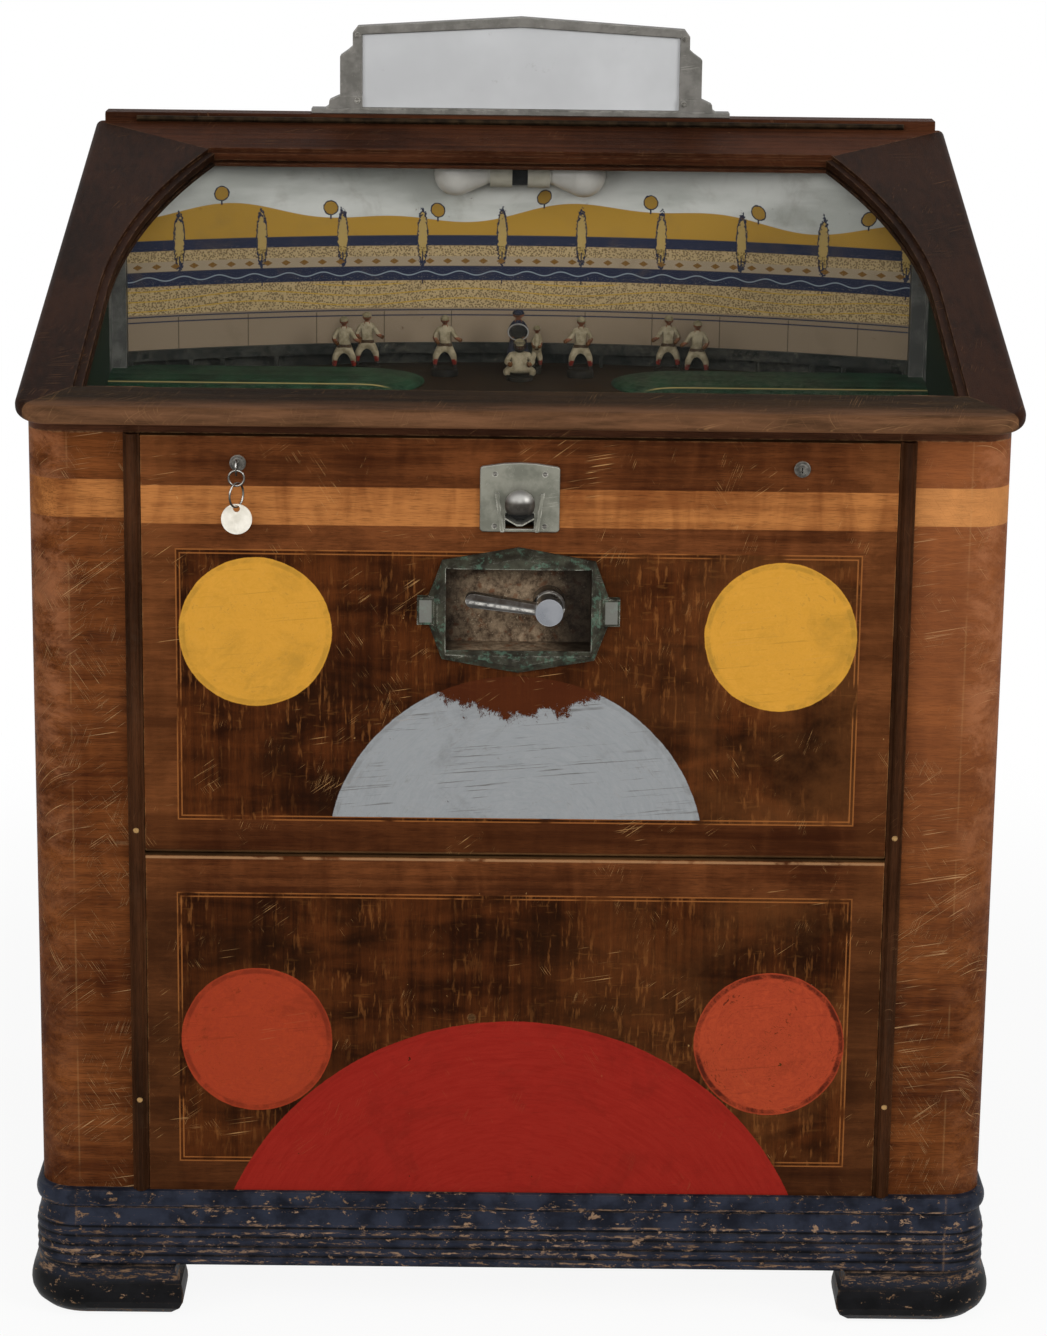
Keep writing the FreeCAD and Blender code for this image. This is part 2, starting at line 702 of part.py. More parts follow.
def back_panel():
    """Back of the cabinet as a frame of boards round the doorway."""
    panel = box(-SIDE_IN, SIDE_IN, Y_BACK_IN, Y_BACK, FOOT_HEIGHT, TOP_BOARD_BOTTOM)
    doorway = box(-BACK_DOOR_HALF - GAP, BACK_DOOR_HALF + GAP, Y_BACK_IN - 1.0, Y_BACK + 1.0,
                  BACK_DOOR_BOTTOM, BACK_DOOR_TOP)
    panel = panel.cut(doorway)
    for pin in back_door_pins():
        panel = panel.cut(pin)
    return panel


def back_door():
    z0 = BACK_DOOR_BOTTOM + GAP
    z1 = BACK_DOOR_TOP - GAP
    half_t = BACK_DOOR_THICK / 2.0
    leaf = box(-BACK_DOOR_HALF, BACK_AXIS_X, BACK_AXIS_Y - half_t, BACK_AXIS_Y + half_t, z0, z1)
    edge = rod(half_t, (BACK_AXIS_X, BACK_AXIS_Y, z0), (BACK_AXIS_X, BACK_AXIS_Y, z1))
    door = joined([leaf, edge])
    for start, end in ((z0 - 1.0, BACK_DOOR_BOTTOM + BACK_PIN_IN + FREE), (BACK_DOOR_TOP - BACK_PIN_IN - FREE, z1 + 1.0)):
        door = door.cut(rod(DOOR_PIN_R + FIT, (BACK_AXIS_X, BACK_AXIS_Y, start), (BACK_AXIS_X, BACK_AXIS_Y, end)))
    pull_x = -BACK_DOOR_HALF + FINGER_PULL_EDGE
    y_out = BACK_AXIS_Y + half_t
    return door.cut(rod(FINGER_PULL_R, (pull_x, y_out - FINGER_PULL_DEPTH, FINGER_PULL_Z),
                        (pull_x, y_out + 1.0, FINGER_PULL_Z)))


def bottom_board():
    main = box(-SIDE_IN, SIDE_IN, Y_PILLAR_REAR, Y_BACK_IN, FOOT_HEIGHT, FLOOR_TOP)
    tongue = box(-PILLAR_INNER, PILLAR_INNER, Y_DOOR_IN, Y_PILLAR_REAR, FOOT_HEIGHT, FLOOR_TOP)
    return joined([main, tongue])


def lower_panel_blank():
    face = box(-DOOR_HALF, DOOR_HALF, Y_DOOR, Y_PILLAR, FOOT_HEIGHT, PANEL_JOINT)
    core = box(-PILLAR_INNER, PILLAR_INNER, Y_PILLAR, Y_DOOR_IN, FOOT_HEIGHT, PANEL_JOINT)
    return joined([face, core])


def lower_panel():
    return lower_panel_blank().cut(rod(KEYHOLE_R, (KEYHOLE_X, Y_DOOR - 1.0, KEYHOLE_Z),
                                       (KEYHOLE_X, Y_DOOR + KEYHOLE_DEPTH, KEYHOLE_Z)))


def top_board():
    board = box(-TOP_BOARD_HALF, TOP_BOARD_HALF, TOP_BOARD_FRONT, Y_BACK, TOP_BOARD_BOTTOM, TOP_BOARD_TOP)
    return softened(board, TOP_BOARD_ROUND, lambda b: b.XLength > HALF and b.YMax < TOP_BOARD_FRONT + 0.1
                    and b.ZMin > TOP_BOARD_TOP - 0.1)


# Drop-front door
def pan_box(grow, y0, y1):
    """Outside of the lever casting's pan, grown by the given play."""
    half_w = CAVITY_HALF_W + CAVITY_WALL + grow
    half_h = CAVITY_HALF_H + CAVITY_WALL + grow
    return box(-half_w, half_w, y0, y1, LEVER_CZ - half_h, LEVER_CZ + half_h)


def front_door():
    leaf = box(-DOOR_HALF, DOOR_HALF, Y_DOOR, Y_DOOR_IN, DOOR_AXIS_Z, DOOR_TOP)
    edge = rod(BOARD / 2.0, (-DOOR_HALF, DOOR_AXIS_Y, DOOR_AXIS_Z), (DOOR_HALF, DOOR_AXIS_Y, DOOR_AXIS_Z))
    door = joined([leaf, edge])
    door = door.cut(pan_box(CAVITY_PLAY, Y_DOOR - 1.0, Y_DOOR_IN + 1.0))
    hole_half = MOUTH_HALF + 4.0
    door = door.cut(box(-hole_half, hole_half, Y_DOOR - 1.0, Y_DOOR_IN + 1.0, MOUTH_BOTTOM,
                        THUMB_CENTRE + THUMB_STEM_R + 3.0))
    for side in (-1, 1):
        door = door.cut(rod(LOCK_BARREL_R, (side * LOCK_X, Y_DOOR - 1.0, LOCK_Z),
                            (side * LOCK_X, Y_DOOR_IN + 1.0, LOCK_Z)))
        door = door.cut(rod(DOOR_PIN_R + FIT, (side * (DOOR_HALF + 1.0), DOOR_AXIS_Y, DOOR_AXIS_Z),
                            (side * (DOOR_HALF - DOOR_PIN_IN - 1.0), DOOR_AXIS_Y, DOOR_AXIS_Z)))
    return door


# Lever casting
def casting_ring(inset, y):
    """Eight-sided outline of the casting, drawn in by inset, at the depth y."""
    px = CASTING_SIDE_X - inset
    cx = CASTING_CORNER_X - inset
    pz = CASTING_PEAK - inset
    cz = CASTING_CORNER_Z - inset
    right = [(0.0, pz), (cx, cz), (px, CASTING_SIDE_Z), (px, -CASTING_SIDE_Z), (cx, -cz), (0.0, -pz)]
    left = [(-x, z) for x, z in right[1:-1]][::-1]
    points = [V(x, y, LEVER_CZ + z) for x, z in right + left]
    return Part.makePolygon(points + points[:1])


def lever_casting():
    y_face = Y_DOOR - CASTING_PROUD
    rings = [casting_ring(0.0, Y_DOOR), casting_ring(0.0, Y_DOOR - CASTING_EDGE), casting_ring(CASTING_DRAFT, y_face)]
    flange = joined([Part.makeLoft(rings[:2], True, True), Part.makeLoft(rings[1:], True, True)])
    label = box(LABEL_INNER, LABEL_OUTER, Y_DOOR - LABEL_PROUD, Y_DOOR,
                LEVER_CZ - LABEL_HALF_HEIGHT, LEVER_CZ + LABEL_HALF_HEIGHT)
    pan = pan_box(0.0, Y_DOOR - 1.0, Y_PAN + CAVITY_WALL)
    bearing = rod(LEVER_SHAFT_R + BEARING_WALL, (LEVER_X, Y_PAN, LEVER_Z), (LEVER_X, Y_PAN + BEARING_LENGTH, LEVER_Z))
    body = joined([flange, pan, bearing] + both_sides(label))
    low = LEVER_CZ - CAVITY_HALF_H
    cavity = box(-CAVITY_HALF_W, CAVITY_HALF_W, y_face - 1.0, Y_PAN, low, LEVER_CZ + CAVITY_HALF_H)
    sill = prism_yz([
        (y_face + 1.0, low - 0.5), (y_face + CASTING_EDGE, low + SILL_RISE), (Y_PAN + 0.5, low + SILL_RISE),
        (Y_PAN + 0.5, low - 0.5),
    ], -CAVITY_HALF_W - 0.5, CAVITY_HALF_W + 0.5)
    bore = rod(LEVER_SHAFT_R + FIT, (LEVER_X, Y_PAN - 1.0, LEVER_Z), (LEVER_X, Y_CRANK, LEVER_Z))
    return joined([body.cut(cavity), sill]).cut(bore)


def tapered_bar(x0, z0, r0, x1, z1, r1, y0, y1):
    """Flat bar between two round ends on the front plane."""
    length = math.hypot(x1 - x0, z1 - z0)
    nx = -(z1 - z0) / length
    nz = (x1 - x0) / length
    bar = prism_xz([(x0 + nx * r0, z0 + nz * r0), (x1 + nx * r1, z1 + nz * r1),
                    (x1 - nx * r1, z1 - nz * r1), (x0 - nx * r0, z0 - nz * r0)], y0, y1)
    return [bar, rod(r0, (x0, y0, z0), (x0, y1, z0)), rod(r1, (x1, y0, z1), (x1, y1, z1))]


def lever_arm():
    """Hub, boss, finger bar and the shaft that passes through the casting."""
    y_hub = Y_DOOR - CASTING_PROUD - LEVER_HUB_PROUD
    y_boss = Y_PAN - LEVER_BOSS_LENGTH
    hub = rod(LEVER_HUB_R, (LEVER_X, y_hub, LEVER_Z), (LEVER_X, y_boss, LEVER_Z))
    boss = rod(LEVER_BOSS_R, (LEVER_X, y_boss, LEVER_Z), (LEVER_X, Y_PAN - FREE, LEVER_Z))
    shaft = rod(LEVER_SHAFT_R, (LEVER_X, y_hub + 2.0, LEVER_Z), (LEVER_X, Y_CRANK + CRANK_THICK, LEVER_Z))
    y0 = y_hub + LEVER_ARM_BACK
    bar = tapered_bar(LEVER_X, LEVER_Z, LEVER_ROOT_R, LEVER_TIP_X, LEVER_TIP_Z, LEVER_TIP_R,
                      y0, y0 + LEVER_ARM_THICK)
    return joined([hub, boss, shaft] + bar)


def lever_crank():
    """Crank on the inner end of the lever shaft, leaning half the travel to one side at rest."""
    y1 = Y_CRANK + CRANK_THICK
    web = tapered_bar(LEVER_X, LEVER_Z, CRANK_HUB_R, CRANK_PIN_X, CRANK_PIN_Z, CRANK_EYE_R, Y_CRANK, y1)
    pin = rod(CRANK_PIN_R, (CRANK_PIN_X, Y_CRANK + 1.0, CRANK_PIN_Z),
              (CRANK_PIN_X, RACK_ROOT_Y - 1.0, CRANK_PIN_Z))
    bore = rod(LEVER_SHAFT_R, (LEVER_X, Y_CRANK - 1.0, LEVER_Z), (LEVER_X, y1 + 1.0, LEVER_Z))
    return joined(web + [pin]).cut(bore)


# Rack, pinion and bat
def gear_points(teeth, module, phase):
    """Plan outline of a spur gear with straight-sided teeth, one tooth centred on phase."""
    pitch_r = module * teeth / 2.0
    step = 360.0 / teeth
    points = []
    for index in range(teeth):
        mid = phase + index * step
        for share, out in ((-TOOTH_ROOT, -DEDENDUM), (-TOOTH_TIP, ADDENDUM), (TOOTH_TIP, ADDENDUM),
                           (TOOTH_ROOT, -DEDENDUM)):
            a = math.radians(mid + share * step / 2.0)
            r = pitch_r + out * module
            points.append((r * math.cos(a), r * math.sin(a)))
    return points


def bat_rack():
    """Sliding rack with teeth towards the bat shaft and a fork hanging over the crank pin."""
    pitch = math.pi * RACK_MODULE
    first = BAT_X + pitch / 2.0 - RACK_TEETH_AHEAD * pitch
    x_left = first - pitch
    x_right = GUIDE_X[1] + GUIDE_HALF + RACK_TAIL + RACK_STROKE
    outline = [(x_left, RACK_Y), (x_left, RACK_ROOT_Y)]
    for index in range(RACK_TEETH):
        mid = first + index * pitch
        for share, out in ((-TOOTH_ROOT, 0.0), (-TOOTH_TIP, DEDENDUM + ADDENDUM),
                           (TOOTH_TIP, DEDENDUM + ADDENDUM), (TOOTH_ROOT, 0.0)):
            outline.append((mid + share * pitch / 2.0, RACK_ROOT_Y + out * RACK_MODULE))
    outline += [(x_right, RACK_ROOT_Y), (x_right, RACK_Y)]
    bar = prism_xy(outline, RACK_Z, RACK_Z + RACK_HEIGHT)
    tail = box(GUIDE_X[0] - GUIDE_HALF - RACK_TAIL, x_left + 1.0, RACK_Y, RACK_ROOT_Y, RACK_Z, RACK_Z + RACK_HEIGHT)
    fork = box(CRANK_PIN_X - FORK_HALF, CRANK_PIN_X + FORK_HALF, RACK_Y, RACK_ROOT_Y,
               RACK_Z - FORK_DROP, RACK_Z + 1.0)
    slot_half = CRANK_PIN_R + FORK_PLAY
    slot = box(CRANK_PIN_X - slot_half, CRANK_PIN_X + slot_half, RACK_Y - 1.0, RACK_ROOT_Y + 1.0,
               RACK_Z - FORK_DROP - 1.0, RACK_Z - FORK_BRIDGE)
    return joined([bar, tail, fork]).cut(slot)


def under_field(shape):
    """Trim a shape to the underside of the playing field."""
    deep = 400.0
    above = box(-HALF, HALF, -OVERALL_DEPTH, OVERALL_DEPTH, -FIELD_THICK, deep)
    return shape.cut(to_field(above))


def rack_guides():
    """Two staples under the field in which the rack slides."""
    guides = []
    for x in GUIDE_X:
        plate = box(x - GUIDE_HALF, x + GUIDE_HALF, RACK_Y - GUIDE_WALL, RACK_ROOT_Y + GUIDE_WALL,
                    RACK_Z - GUIDE_WALL, FIELD_REAR_Z)
        hole = box(x - GUIDE_HALF - 1.0, x + GUIDE_HALF + 1.0, RACK_Y - FREE, RACK_ROOT_Y + FREE,
                   RACK_Z - FREE, RACK_Z + RACK_HEIGHT + FREE)
        guides.append(under_field(plate.cut(hole)))
    return guides


def bat():
    """Bat bar on an upright shaft that carries the pinion under the field."""
    z_bar = field_z(BAT_Y) + BAT_LIFT
    shaft = rod(BAT_SHAFT_R, (BAT_X, BAT_Y, RACK_Z - 6.0), (BAT_X, BAT_Y, z_bar + BAT_THICK + 3.0))
    pinion = prism_xy([(BAT_X + x, BAT_Y + y) for x, y in gear_points(BAT_TEETH, RACK_MODULE, -90.0)],
                      RACK_Z + 1.0, RACK_Z + RACK_HEIGHT - 1.0)
    a = math.radians(BAT_REST_ANGLE)
    tip_x = BAT_X + BAT_LENGTH * math.cos(a)
    tip_y = BAT_Y + BAT_LENGTH * math.sin(a)
    nx = -math.sin(a)
    ny = math.cos(a)
    bar = prism_xy([
        (BAT_X + BAT_ROOT_R * nx, BAT_Y + BAT_ROOT_R * ny), (tip_x + BAT_TIP_R * nx, tip_y + BAT_TIP_R * ny),
        (tip_x - BAT_TIP_R * nx, tip_y - BAT_TIP_R * ny), (BAT_X - BAT_ROOT_R * nx, BAT_Y - BAT_ROOT_R * ny),
    ], z_bar, z_bar + BAT_THICK)
    tip = rod(BAT_TIP_R, (tip_x, tip_y, z_bar), (tip_x, tip_y, z_bar + BAT_THICK))
    hub = rod(BAT_HUB_R, (BAT_X, BAT_Y, z_bar), (BAT_X, BAT_Y, z_bar + BAT_THICK))
    return joined([shaft, pinion, bar, tip, hub])


# Coin plate, thumb piece and chute
def coin_screw_axes():
    return [(side * COIN_SCREW_X, z) for side in (-1, 1) for z in COIN_SCREW_Z]


def coin_plate():
    y0 = Y_DOOR - COIN_THICK
    shoulder_x = COIN_HALF * 0.4
    plate = prism_xz([
        (-COIN_HALF, COIN_BOTTOM), (COIN_HALF, COIN_BOTTOM), (COIN_HALF, COIN_SHOULDER),
        (shoulder_x, COIN_PEAK - 0.8), (0.0, COIN_PEAK), (-shoulder_x, COIN_PEAK - 0.8), (-COIN_HALF, COIN_SHOULDER),
    ], y0, Y_DOOR)
    plate = softened(plate, 4.0, lambda b: b.XLength < 0.01 and b.ZLength < 0.01 and abs(b.XMin) > COIN_HALF - 1.0)
    plate = softened(plate, 1.5, lambda b: b.YMax < y0 + 0.01)
    outer = [(-RIDGE_BOTTOM_HALF, COIN_BOTTOM + 1.0), (RIDGE_BOTTOM_HALF, COIN_BOTTOM + 1.0),
             (RIDGE_TOP_HALF, RIDGE_TOP), (-RIDGE_TOP_HALF, RIDGE_TOP)]
    inner_low = RIDGE_BOTTOM_HALF - RIDGE_WALL
    inner_high = RIDGE_TOP_HALF - RIDGE_WALL
    inner = [(-inner_low, COIN_BOTTOM), (inner_low, COIN_BOTTOM), (inner_high, RIDGE_TOP + 1.0),
             (-inner_high, RIDGE_TOP + 1.0)]
    ridge = prism_xz(outer, y0 - RIDGE_PROUD, y0 + 1.0).cut(prism_xz(inner, y0 - RIDGE_PROUD - 1.0, y0))
    plate = joined([plate, ridge])
    plate = plate.cut(box(-MOUTH_HALF, MOUTH_HALF, y0 - RIDGE_PROUD - 1.0, Y_DOOR + 1.0, MOUTH_BOTTOM, MOUTH_TOP))
    plate = plate.cut(rod(THUMB_STEM_R + FIT, (0.0, y0 - 1.0, THUMB_CENTRE), (0.0, Y_DOOR + 1.0, THUMB_CENTRE)))
    for x, z in coin_screw_axes():
        plate = plate.cut(rod(COIN_SCREW_R, (x, y0 - 1.0, z), (x, Y_DOOR + 1.0, z)))
    return plate


def coin_screws():
    screws = []
    y_head = Y_DOOR - COIN_THICK + SCREW_SINK
    for x, z in coin_screw_axes():
        head = rod(COIN_SCREW_R, (x, y_head, z), (x, Y_DOOR, z))
        slot = box(x - COIN_SCREW_R, x + COIN_SCREW_R, y_head - 1.0, y_head + 0.6, z - 0.4, z + 0.4)
        screws.append(head.cut(slot))
    return screws


def coin_cradle():
    """Folded strip in a V under the thumb piece, in which the coin lies."""
    half = MOUTH_HALF
    z_mid = CRADLE_SIDE_Z - CRADLE_DROP
    under = [(-half, CRADLE_SIDE_Z), (-CRADLE_FLAT, z_mid), (CRADLE_FLAT, z_mid), (half, CRADLE_SIDE_Z)]
    over = [(x, z + CRADLE_THICK) for x, z in under][::-1]
    return prism_xz(under + over, Y_DOOR - CRADLE_FRONT, Y_DOOR + CRADLE_REAR)


def thumb_piece():
    """Pusher with a domed head, round above and flat below, on a stem through the plate."""
    y_rim = Y_DOOR - COIN_THICK - THUMB_TRAVEL - FREE
    y_dome = y_rim - THUMB_RIM
    sphere_r = (THUMB_R ** 2 + THUMB_DOME ** 2) / (2.0 * THUMB_DOME)
    dome = ball(sphere_r, 0.0, y_dome - THUMB_DOME + sphere_r, THUMB_CENTRE)
    dome = dome.common(rod(THUMB_R, (0.0, y_dome - THUMB_DOME - 1.0, THUMB_CENTRE), (0.0, y_dome, THUMB_CENTRE)))
    rim = rod(THUMB_R, (0.0, y_dome, THUMB_CENTRE), (0.0, y_rim, THUMB_CENTRE))
    below = box(-THUMB_R * 2.0, THUMB_R * 2.0, Y_NOSE, Y_DOOR, THUMB_BOTTOM - THUMB_R * 2.0, THUMB_BOTTOM)
    head = joined([dome, rim]).cut(below)
    stem = rod(THUMB_STEM_R, (0.0, y_rim - 1.0, THUMB_CENTRE), (0.0, Y_DOOR_IN + THUMB_STEM_IN, THUMB_CENTRE))
    return joined([head, stem])


def chute_run(inset, y0, y1, open_low):
    """The channel's three runs, drawn in by inset: at the plate, down the slant and straight down."""
    top_half = RIDGE_TOP_HALF - inset
    half = CHUTE_HALF - inset
    top = [(-top_half, MOUTH_BOTTOM - 4.0 + inset), (top_half, MOUTH_BOTTOM - 4.0 + inset),
           (top_half, CHUTE_TOP - inset), (-top_half, CHUTE_TOP - inset)]
    slant = [(-top_half + 1.0, MOUTH_BOTTOM + 26.0 - inset), (-top_half + 1.0, MOUTH_BOTTOM - 4.0 + inset),
             (CHUTE_X + half, CHUTE_ELBOW - 20.0 + inset), (CHUTE_X - half, CHUTE_ELBOW - 20.0 + inset),
             (CHUTE_X - half, CHUTE_ELBOW + 4.0 - inset)]
    drop = [(CHUTE_X - half, CHUTE_END - open_low), (CHUTE_X + half, CHUTE_END - open_low),
            (CHUTE_X + half, CHUTE_ELBOW - 18.0), (CHUTE_X - half, CHUTE_ELBOW - 18.0)]
    return joined([prism_xz(outline, y0, y1) for outline in (top, slant, drop)])


def coin_chute():
    """Sheet channel behind the door, past the lever casting and down towards the cash box."""
    y1 = Y_DOOR_IN + CHUTE_DEPTH
    outer = chute_run(0.0, Y_DOOR_IN, y1, 0.0)
    return outer.cut(chute_run(CHUTE_SHEET, Y_DOOR_IN - 1.0, y1 - CHUTE_SHEET, 1.0))


# Locks, key, rings and tag
def lock_housings():
    shapes = []
    for side in (-1, 1):
        x = side * LOCK_X
        barrel = rod(LOCK_BARREL_R, (x, Y_DOOR - 1.0, LOCK_Z), (x, LOCK_REAR, LOCK_Z))
        flange = rod(LOCK_FLANGE_R, (x, Y_DOOR - LOCK_FLANGE, LOCK_Z), (x, Y_DOOR, LOCK_Z))
        nut = rod(LOCK_NUT_R, (x, Y_DOOR_IN, LOCK_Z), (x, Y_DOOR_IN + LOCK_NUT, LOCK_Z))
        bore = rod(LOCK_PLUG_R + FIT, (x, Y_DOOR - LOCK_FLANGE - 1.0, LOCK_Z), (x, LOCK_REAR + 1.0, LOCK_Z))
        shapes.append(joined([barrel, flange, nut]).cut(bore))
    return shapes


def lock_plug(side):
    """Turning plug with its cam lying level, as it does unlocked."""
    x = side * LOCK_X
    y_cam = LOCK_REAR + FREE
    cam_tip = x - side * CAM_LENGTH
    plug = rod(LOCK_PLUG_R, (x, Y_DOOR - LOCK_FLANGE + 0.5, LOCK_Z), (x, y_cam + 1.0, LOCK_Z))
    cam = tapered_bar(x, LOCK_Z, CAM_HALF, cam_tip, LOCK_Z, CAM_HALF, y_cam, y_cam + CAM_THICK)
    half = KEY_THICK / 2.0 + FIT
    slot = box(x - half, x + half, Y_DOOR - LOCK_FLANGE, Y_DOOR + KEY_IN + FREE,
               LOCK_Z - KEY_DOWN - FIT, LOCK_Z + KEY_UP + FIT)
    return joined([plug] + cam).cut(slot)


def door_key():
    """Flat key in the left lock, its bow upright and seen edge-on."""
    x0 = -LOCK_X - KEY_THICK / 2.0
    x1 = -LOCK_X + KEY_THICK / 2.0
    blade = box(x0, x1, KEY_BOW_Y, Y_DOOR + KEY_IN, LOCK_Z - KEY_DOWN, LOCK_Z + KEY_UP)
    bow = rod(BOW_R, (x0, KEY_BOW_Y, LOCK_Z - 1.0), (x1, KEY_BOW_Y, LOCK_Z - 1.0))
    hole = rod(BOW_HOLE_R, (x0 - 1.0, KEY_BOW_Y, KEY_HOLE_Z), (x1 + 1.0, KEY_BOW_Y, KEY_HOLE_Z))
    return joined([blade, bow]).cut(hole)


def hanging_ring(major, centre_z, turn):
    ring = Part.makeTorus(major, RING_WIRE, V(0, 0, 0), V(0, 1, 0))
    ring.rotate(V(0, 0, 0), V(0, 0, 1), turn)
    ring.translate(V(-LOCK_X, KEY_BOW_Y, centre_z))
    return ring


def key_rings():
    """A small ring through the key's bow and a larger split ring through the small one."""
    return [hanging_ring(SMALL_RING_R, SMALL_RING_Z, 0.0), hanging_ring(BIG_RING_R, BIG_RING_Z, BIG_RING_TURN)]


def key_tag():
    """Round tag hanging from the split ring."""
    x = -LOCK_X
    y0 = KEY_BOW_Y - TAG_THICK / 2.0
    hole_z = TAG_Z + TAG_R - TAG_HOLE_EDGE
    tag = rod(TAG_R, (x, y0, TAG_Z), (x, y0 + TAG_THICK, TAG_Z))
    return tag.cut(rod(TAG_HOLE_R, (x, y0 - 1.0, hole_z), (x, y0 + TAG_THICK + 1.0, hole_z)))


# Hood frame, glass and hinge
def to_slope(shape):
    """Put a shape drawn flat, nose at y 0 and top face at z 0, on the slope of the hood."""
    shape.rotate(V(0, 0, 0), V(1, 0, 0), HOOD_SLOPE)
    shape.translate(V(0, Y_NOSE, NOSE_TOP))
    return shape


def window_side_x(radius, s):
    """Half-width of the window at the distance s up the slope, on its curved stretch."""
    return WINDOW_HALF - WINDOW_CURVE_R + math.sqrt(radius ** 2 - (s - WINDOW_CURVE_START) ** 2)


def window_plan(grow, z0, z1):
    """Plan of the glazed opening: straight sides that curve in towards the top."""
    front = WINDOW_FRONT - grow
    rear = WINDOW_REAR + grow
    radius = WINDOW_CURVE_R + grow
    middle = (WINDOW_CURVE_START + rear) / 2.0
    right = [V(WINDOW_HALF + grow, front, z0), V(WINDOW_HALF + grow, WINDOW_CURVE_START, z0),
             V(window_side_x(radius, middle), middle, z0), V(window_side_x(radius, rear), rear, z0)]
    left = [V(-p.x, p.y, p.z) for p in right]
    wire = Part.Wire([
        Part.makeLine(left[0], right[0]),
        Part.makeLine(right[0], right[1]),
        Part.Arc(right[1], right[2], right[3]).toShape(),
        Part.makeLine(right[3], left[3]),
        Part.Arc(left[3], left[2], left[1]).toShape(),
        Part.makeLine(left[1], left[0]),
    ])
    return Part.Face(wire).extrude(V(0, 0, z1 - z0))


def hood_slab():
    half = HOOD_HALF
    longer = HOOD_LENGTH + HOOD_THICK
    slab = box(-half, half, 0.0, longer, -HOOD_THICK, 0.0)
    slab = softened(slab, HOOD_CORNER, lambda b: b.ZLength > HOOD_THICK - 0.1 and b.YMin < 0.1)
    slab = softened(slab, HOOD_ROUND, lambda b: b.ZLength < 0.01 and b.YMin < longer - 1.0)
    slab = slab.cut(window_plan(0.0, -HOOD_THICK - 1.0, 1.0))
    slab = slab.cut(window_plan(BEAD_WIDTH, -BEAD_DROP, 1.0))
    groove_low = -GLASS_DEPTH - GLASS_THICK - 2.0 * GROOVE_PLAY
    return slab.cut(window_plan(GROOVE_DEPTH, groove_low, -GLASS_DEPTH))


def hood_pieces():
    """Front rail, rear rail and the two stiles, mitred at the corners and plumb at the rear."""
    half = HOOD_HALF
    slab = hood_slab()
    z0 = -HOOD_THICK - 1.0
    over = 12.0
    side = half - WINDOW_HALF
    front_over = over * side / WINDOW_FRONT
    front = prism_xy([(-half - front_over, -over), (half + front_over, -over),
                      (WINDOW_HALF, WINDOW_FRONT), (-WINDOW_HALF, WINDOW_FRONT)], z0, 1.0)
    corner = window_side_x(WINDOW_CURVE_R, WINDOW_REAR)
    reach = HOOD_LENGTH + HOOD_THICK
    slant = (half - corner) / (HOOD_LENGTH - WINDOW_REAR)
    rear_half = corner + slant * (reach - WINDOW_REAR)
    rear = prism_xy([(-corner, WINDOW_REAR), (corner, WINDOW_REAR), (rear_half, reach), (-rear_half, reach)], z0, 1.0)
    stiles = slab.cut(front).cut(rear)
    left = [s for s in stiles.Solids if s.CenterOfMass.x < 0][0]
    right = [s for s in stiles.Solids if s.CenterOfMass.x > 0][0]
    plumb = box(-HALF * 2.0, HALF * 2.0, HOOD_END_Y, OVERALL_DEPTH, 0.0, SIGN_PEAK)
    return [to_slope(s).cut(plumb) for s in (slab.common(front), slab.common(rear), left, right)]


def hood_glass():
    top = -GLASS_DEPTH - GROOVE_PLAY
    return to_slope(window_plan(GROOVE_DEPTH - GLASS_EDGE_PLAY, top - GLASS_THICK, top))


def hinge_side(first, y0, y1, z_top):
    """Leaf and every second knuckle of the long hinge, from the given first knuckle."""
    pitch = 2.0 * HINGE_HALF / HINGE_KNUCKLES
    z_low = HOOD_END_Z - LEAF_DROP
    pieces = [box(-HINGE_HALF, HINGE_HALF, y0, y1, z_low, HINGE_Z - KNUCKLE_R - 0.4)]
    for index in range(first, HINGE_KNUCKLES, 2):
        x0 = -HINGE_HALF + index * pitch + FREE / 2.0
        x1 = x0 + pitch - FREE
        pieces.append(rod(KNUCKLE_R, (x0, HINGE_Y, HINGE_Z), (x1, HINGE_Y, HINGE_Z)))
        pieces.append(box(x0, x1, y0, y1, z_low, z_top))
    return joined(pieces)


def hood_hinge():
    """Fixed leaf on the top board, its knuckles and the pin."""
    leaf = hinge_side(0, TOP_BOARD_FRONT - HINGE_LEAF, TOP_BOARD_FRONT, HINGE_Z + 1.0)
    pin = rod(HINGE_PIN_R, (-HINGE_HALF + 1.0, HINGE_Y, HINGE_Z), (HINGE_HALF - 1.0, HINGE_Y, HINGE_Z))
    return joined([leaf, pin])


def hood_hinge_leaf():
    """Moving leaf on the rear edge of the hood and its knuckles."""
    leaf = hinge_side(1, HOOD_END_Y, HOOD_END_Y + HINGE_LEAF, HINGE_Z)
    return leaf.cut(rod(HINGE_PIN_R + FIT, (-HINGE_HALF, HINGE_Y, HINGE_Z), (HINGE_HALF, HINGE_Y, HINGE_Z)))


# Playing field
def to_field(shape):
    """Put a shape drawn flat, with the field's top at z 0, on the slope of the field."""
    shape.rotate(V(0, 0, 0), V(1, 0, 0), FIELD_SLOPE)
    shape.translate(V(0, 0, field_z(0.0)))
    return shape


def on_field(shape):
    """Trim a shape to the top of the playing field."""
    below = box(-HALF, HALF, -OVERALL_DEPTH, OVERALL_DEPTH, -OVERALL_DEPTH * 2.0, 0.0)
    return shape.cut(to_field(below))


def playfield():
    board = box(-FIELD_HALF, FIELD_HALF, FIELD_FRONT, FIELD_BACK, -FIELD_THICK, 0.0)
    board = to_field(board.cut(rod(RUNNER_R + 1.0, (0, 0, -FIELD_THICK - 1.0), (0, 0, 1.0))))
    return board.cut(rod(BAT_SHAFT_R + FREE, (BAT_X, BAT_Y, RACK_Z), (BAT_X, BAT_Y, FIELD_REAR_Z)))


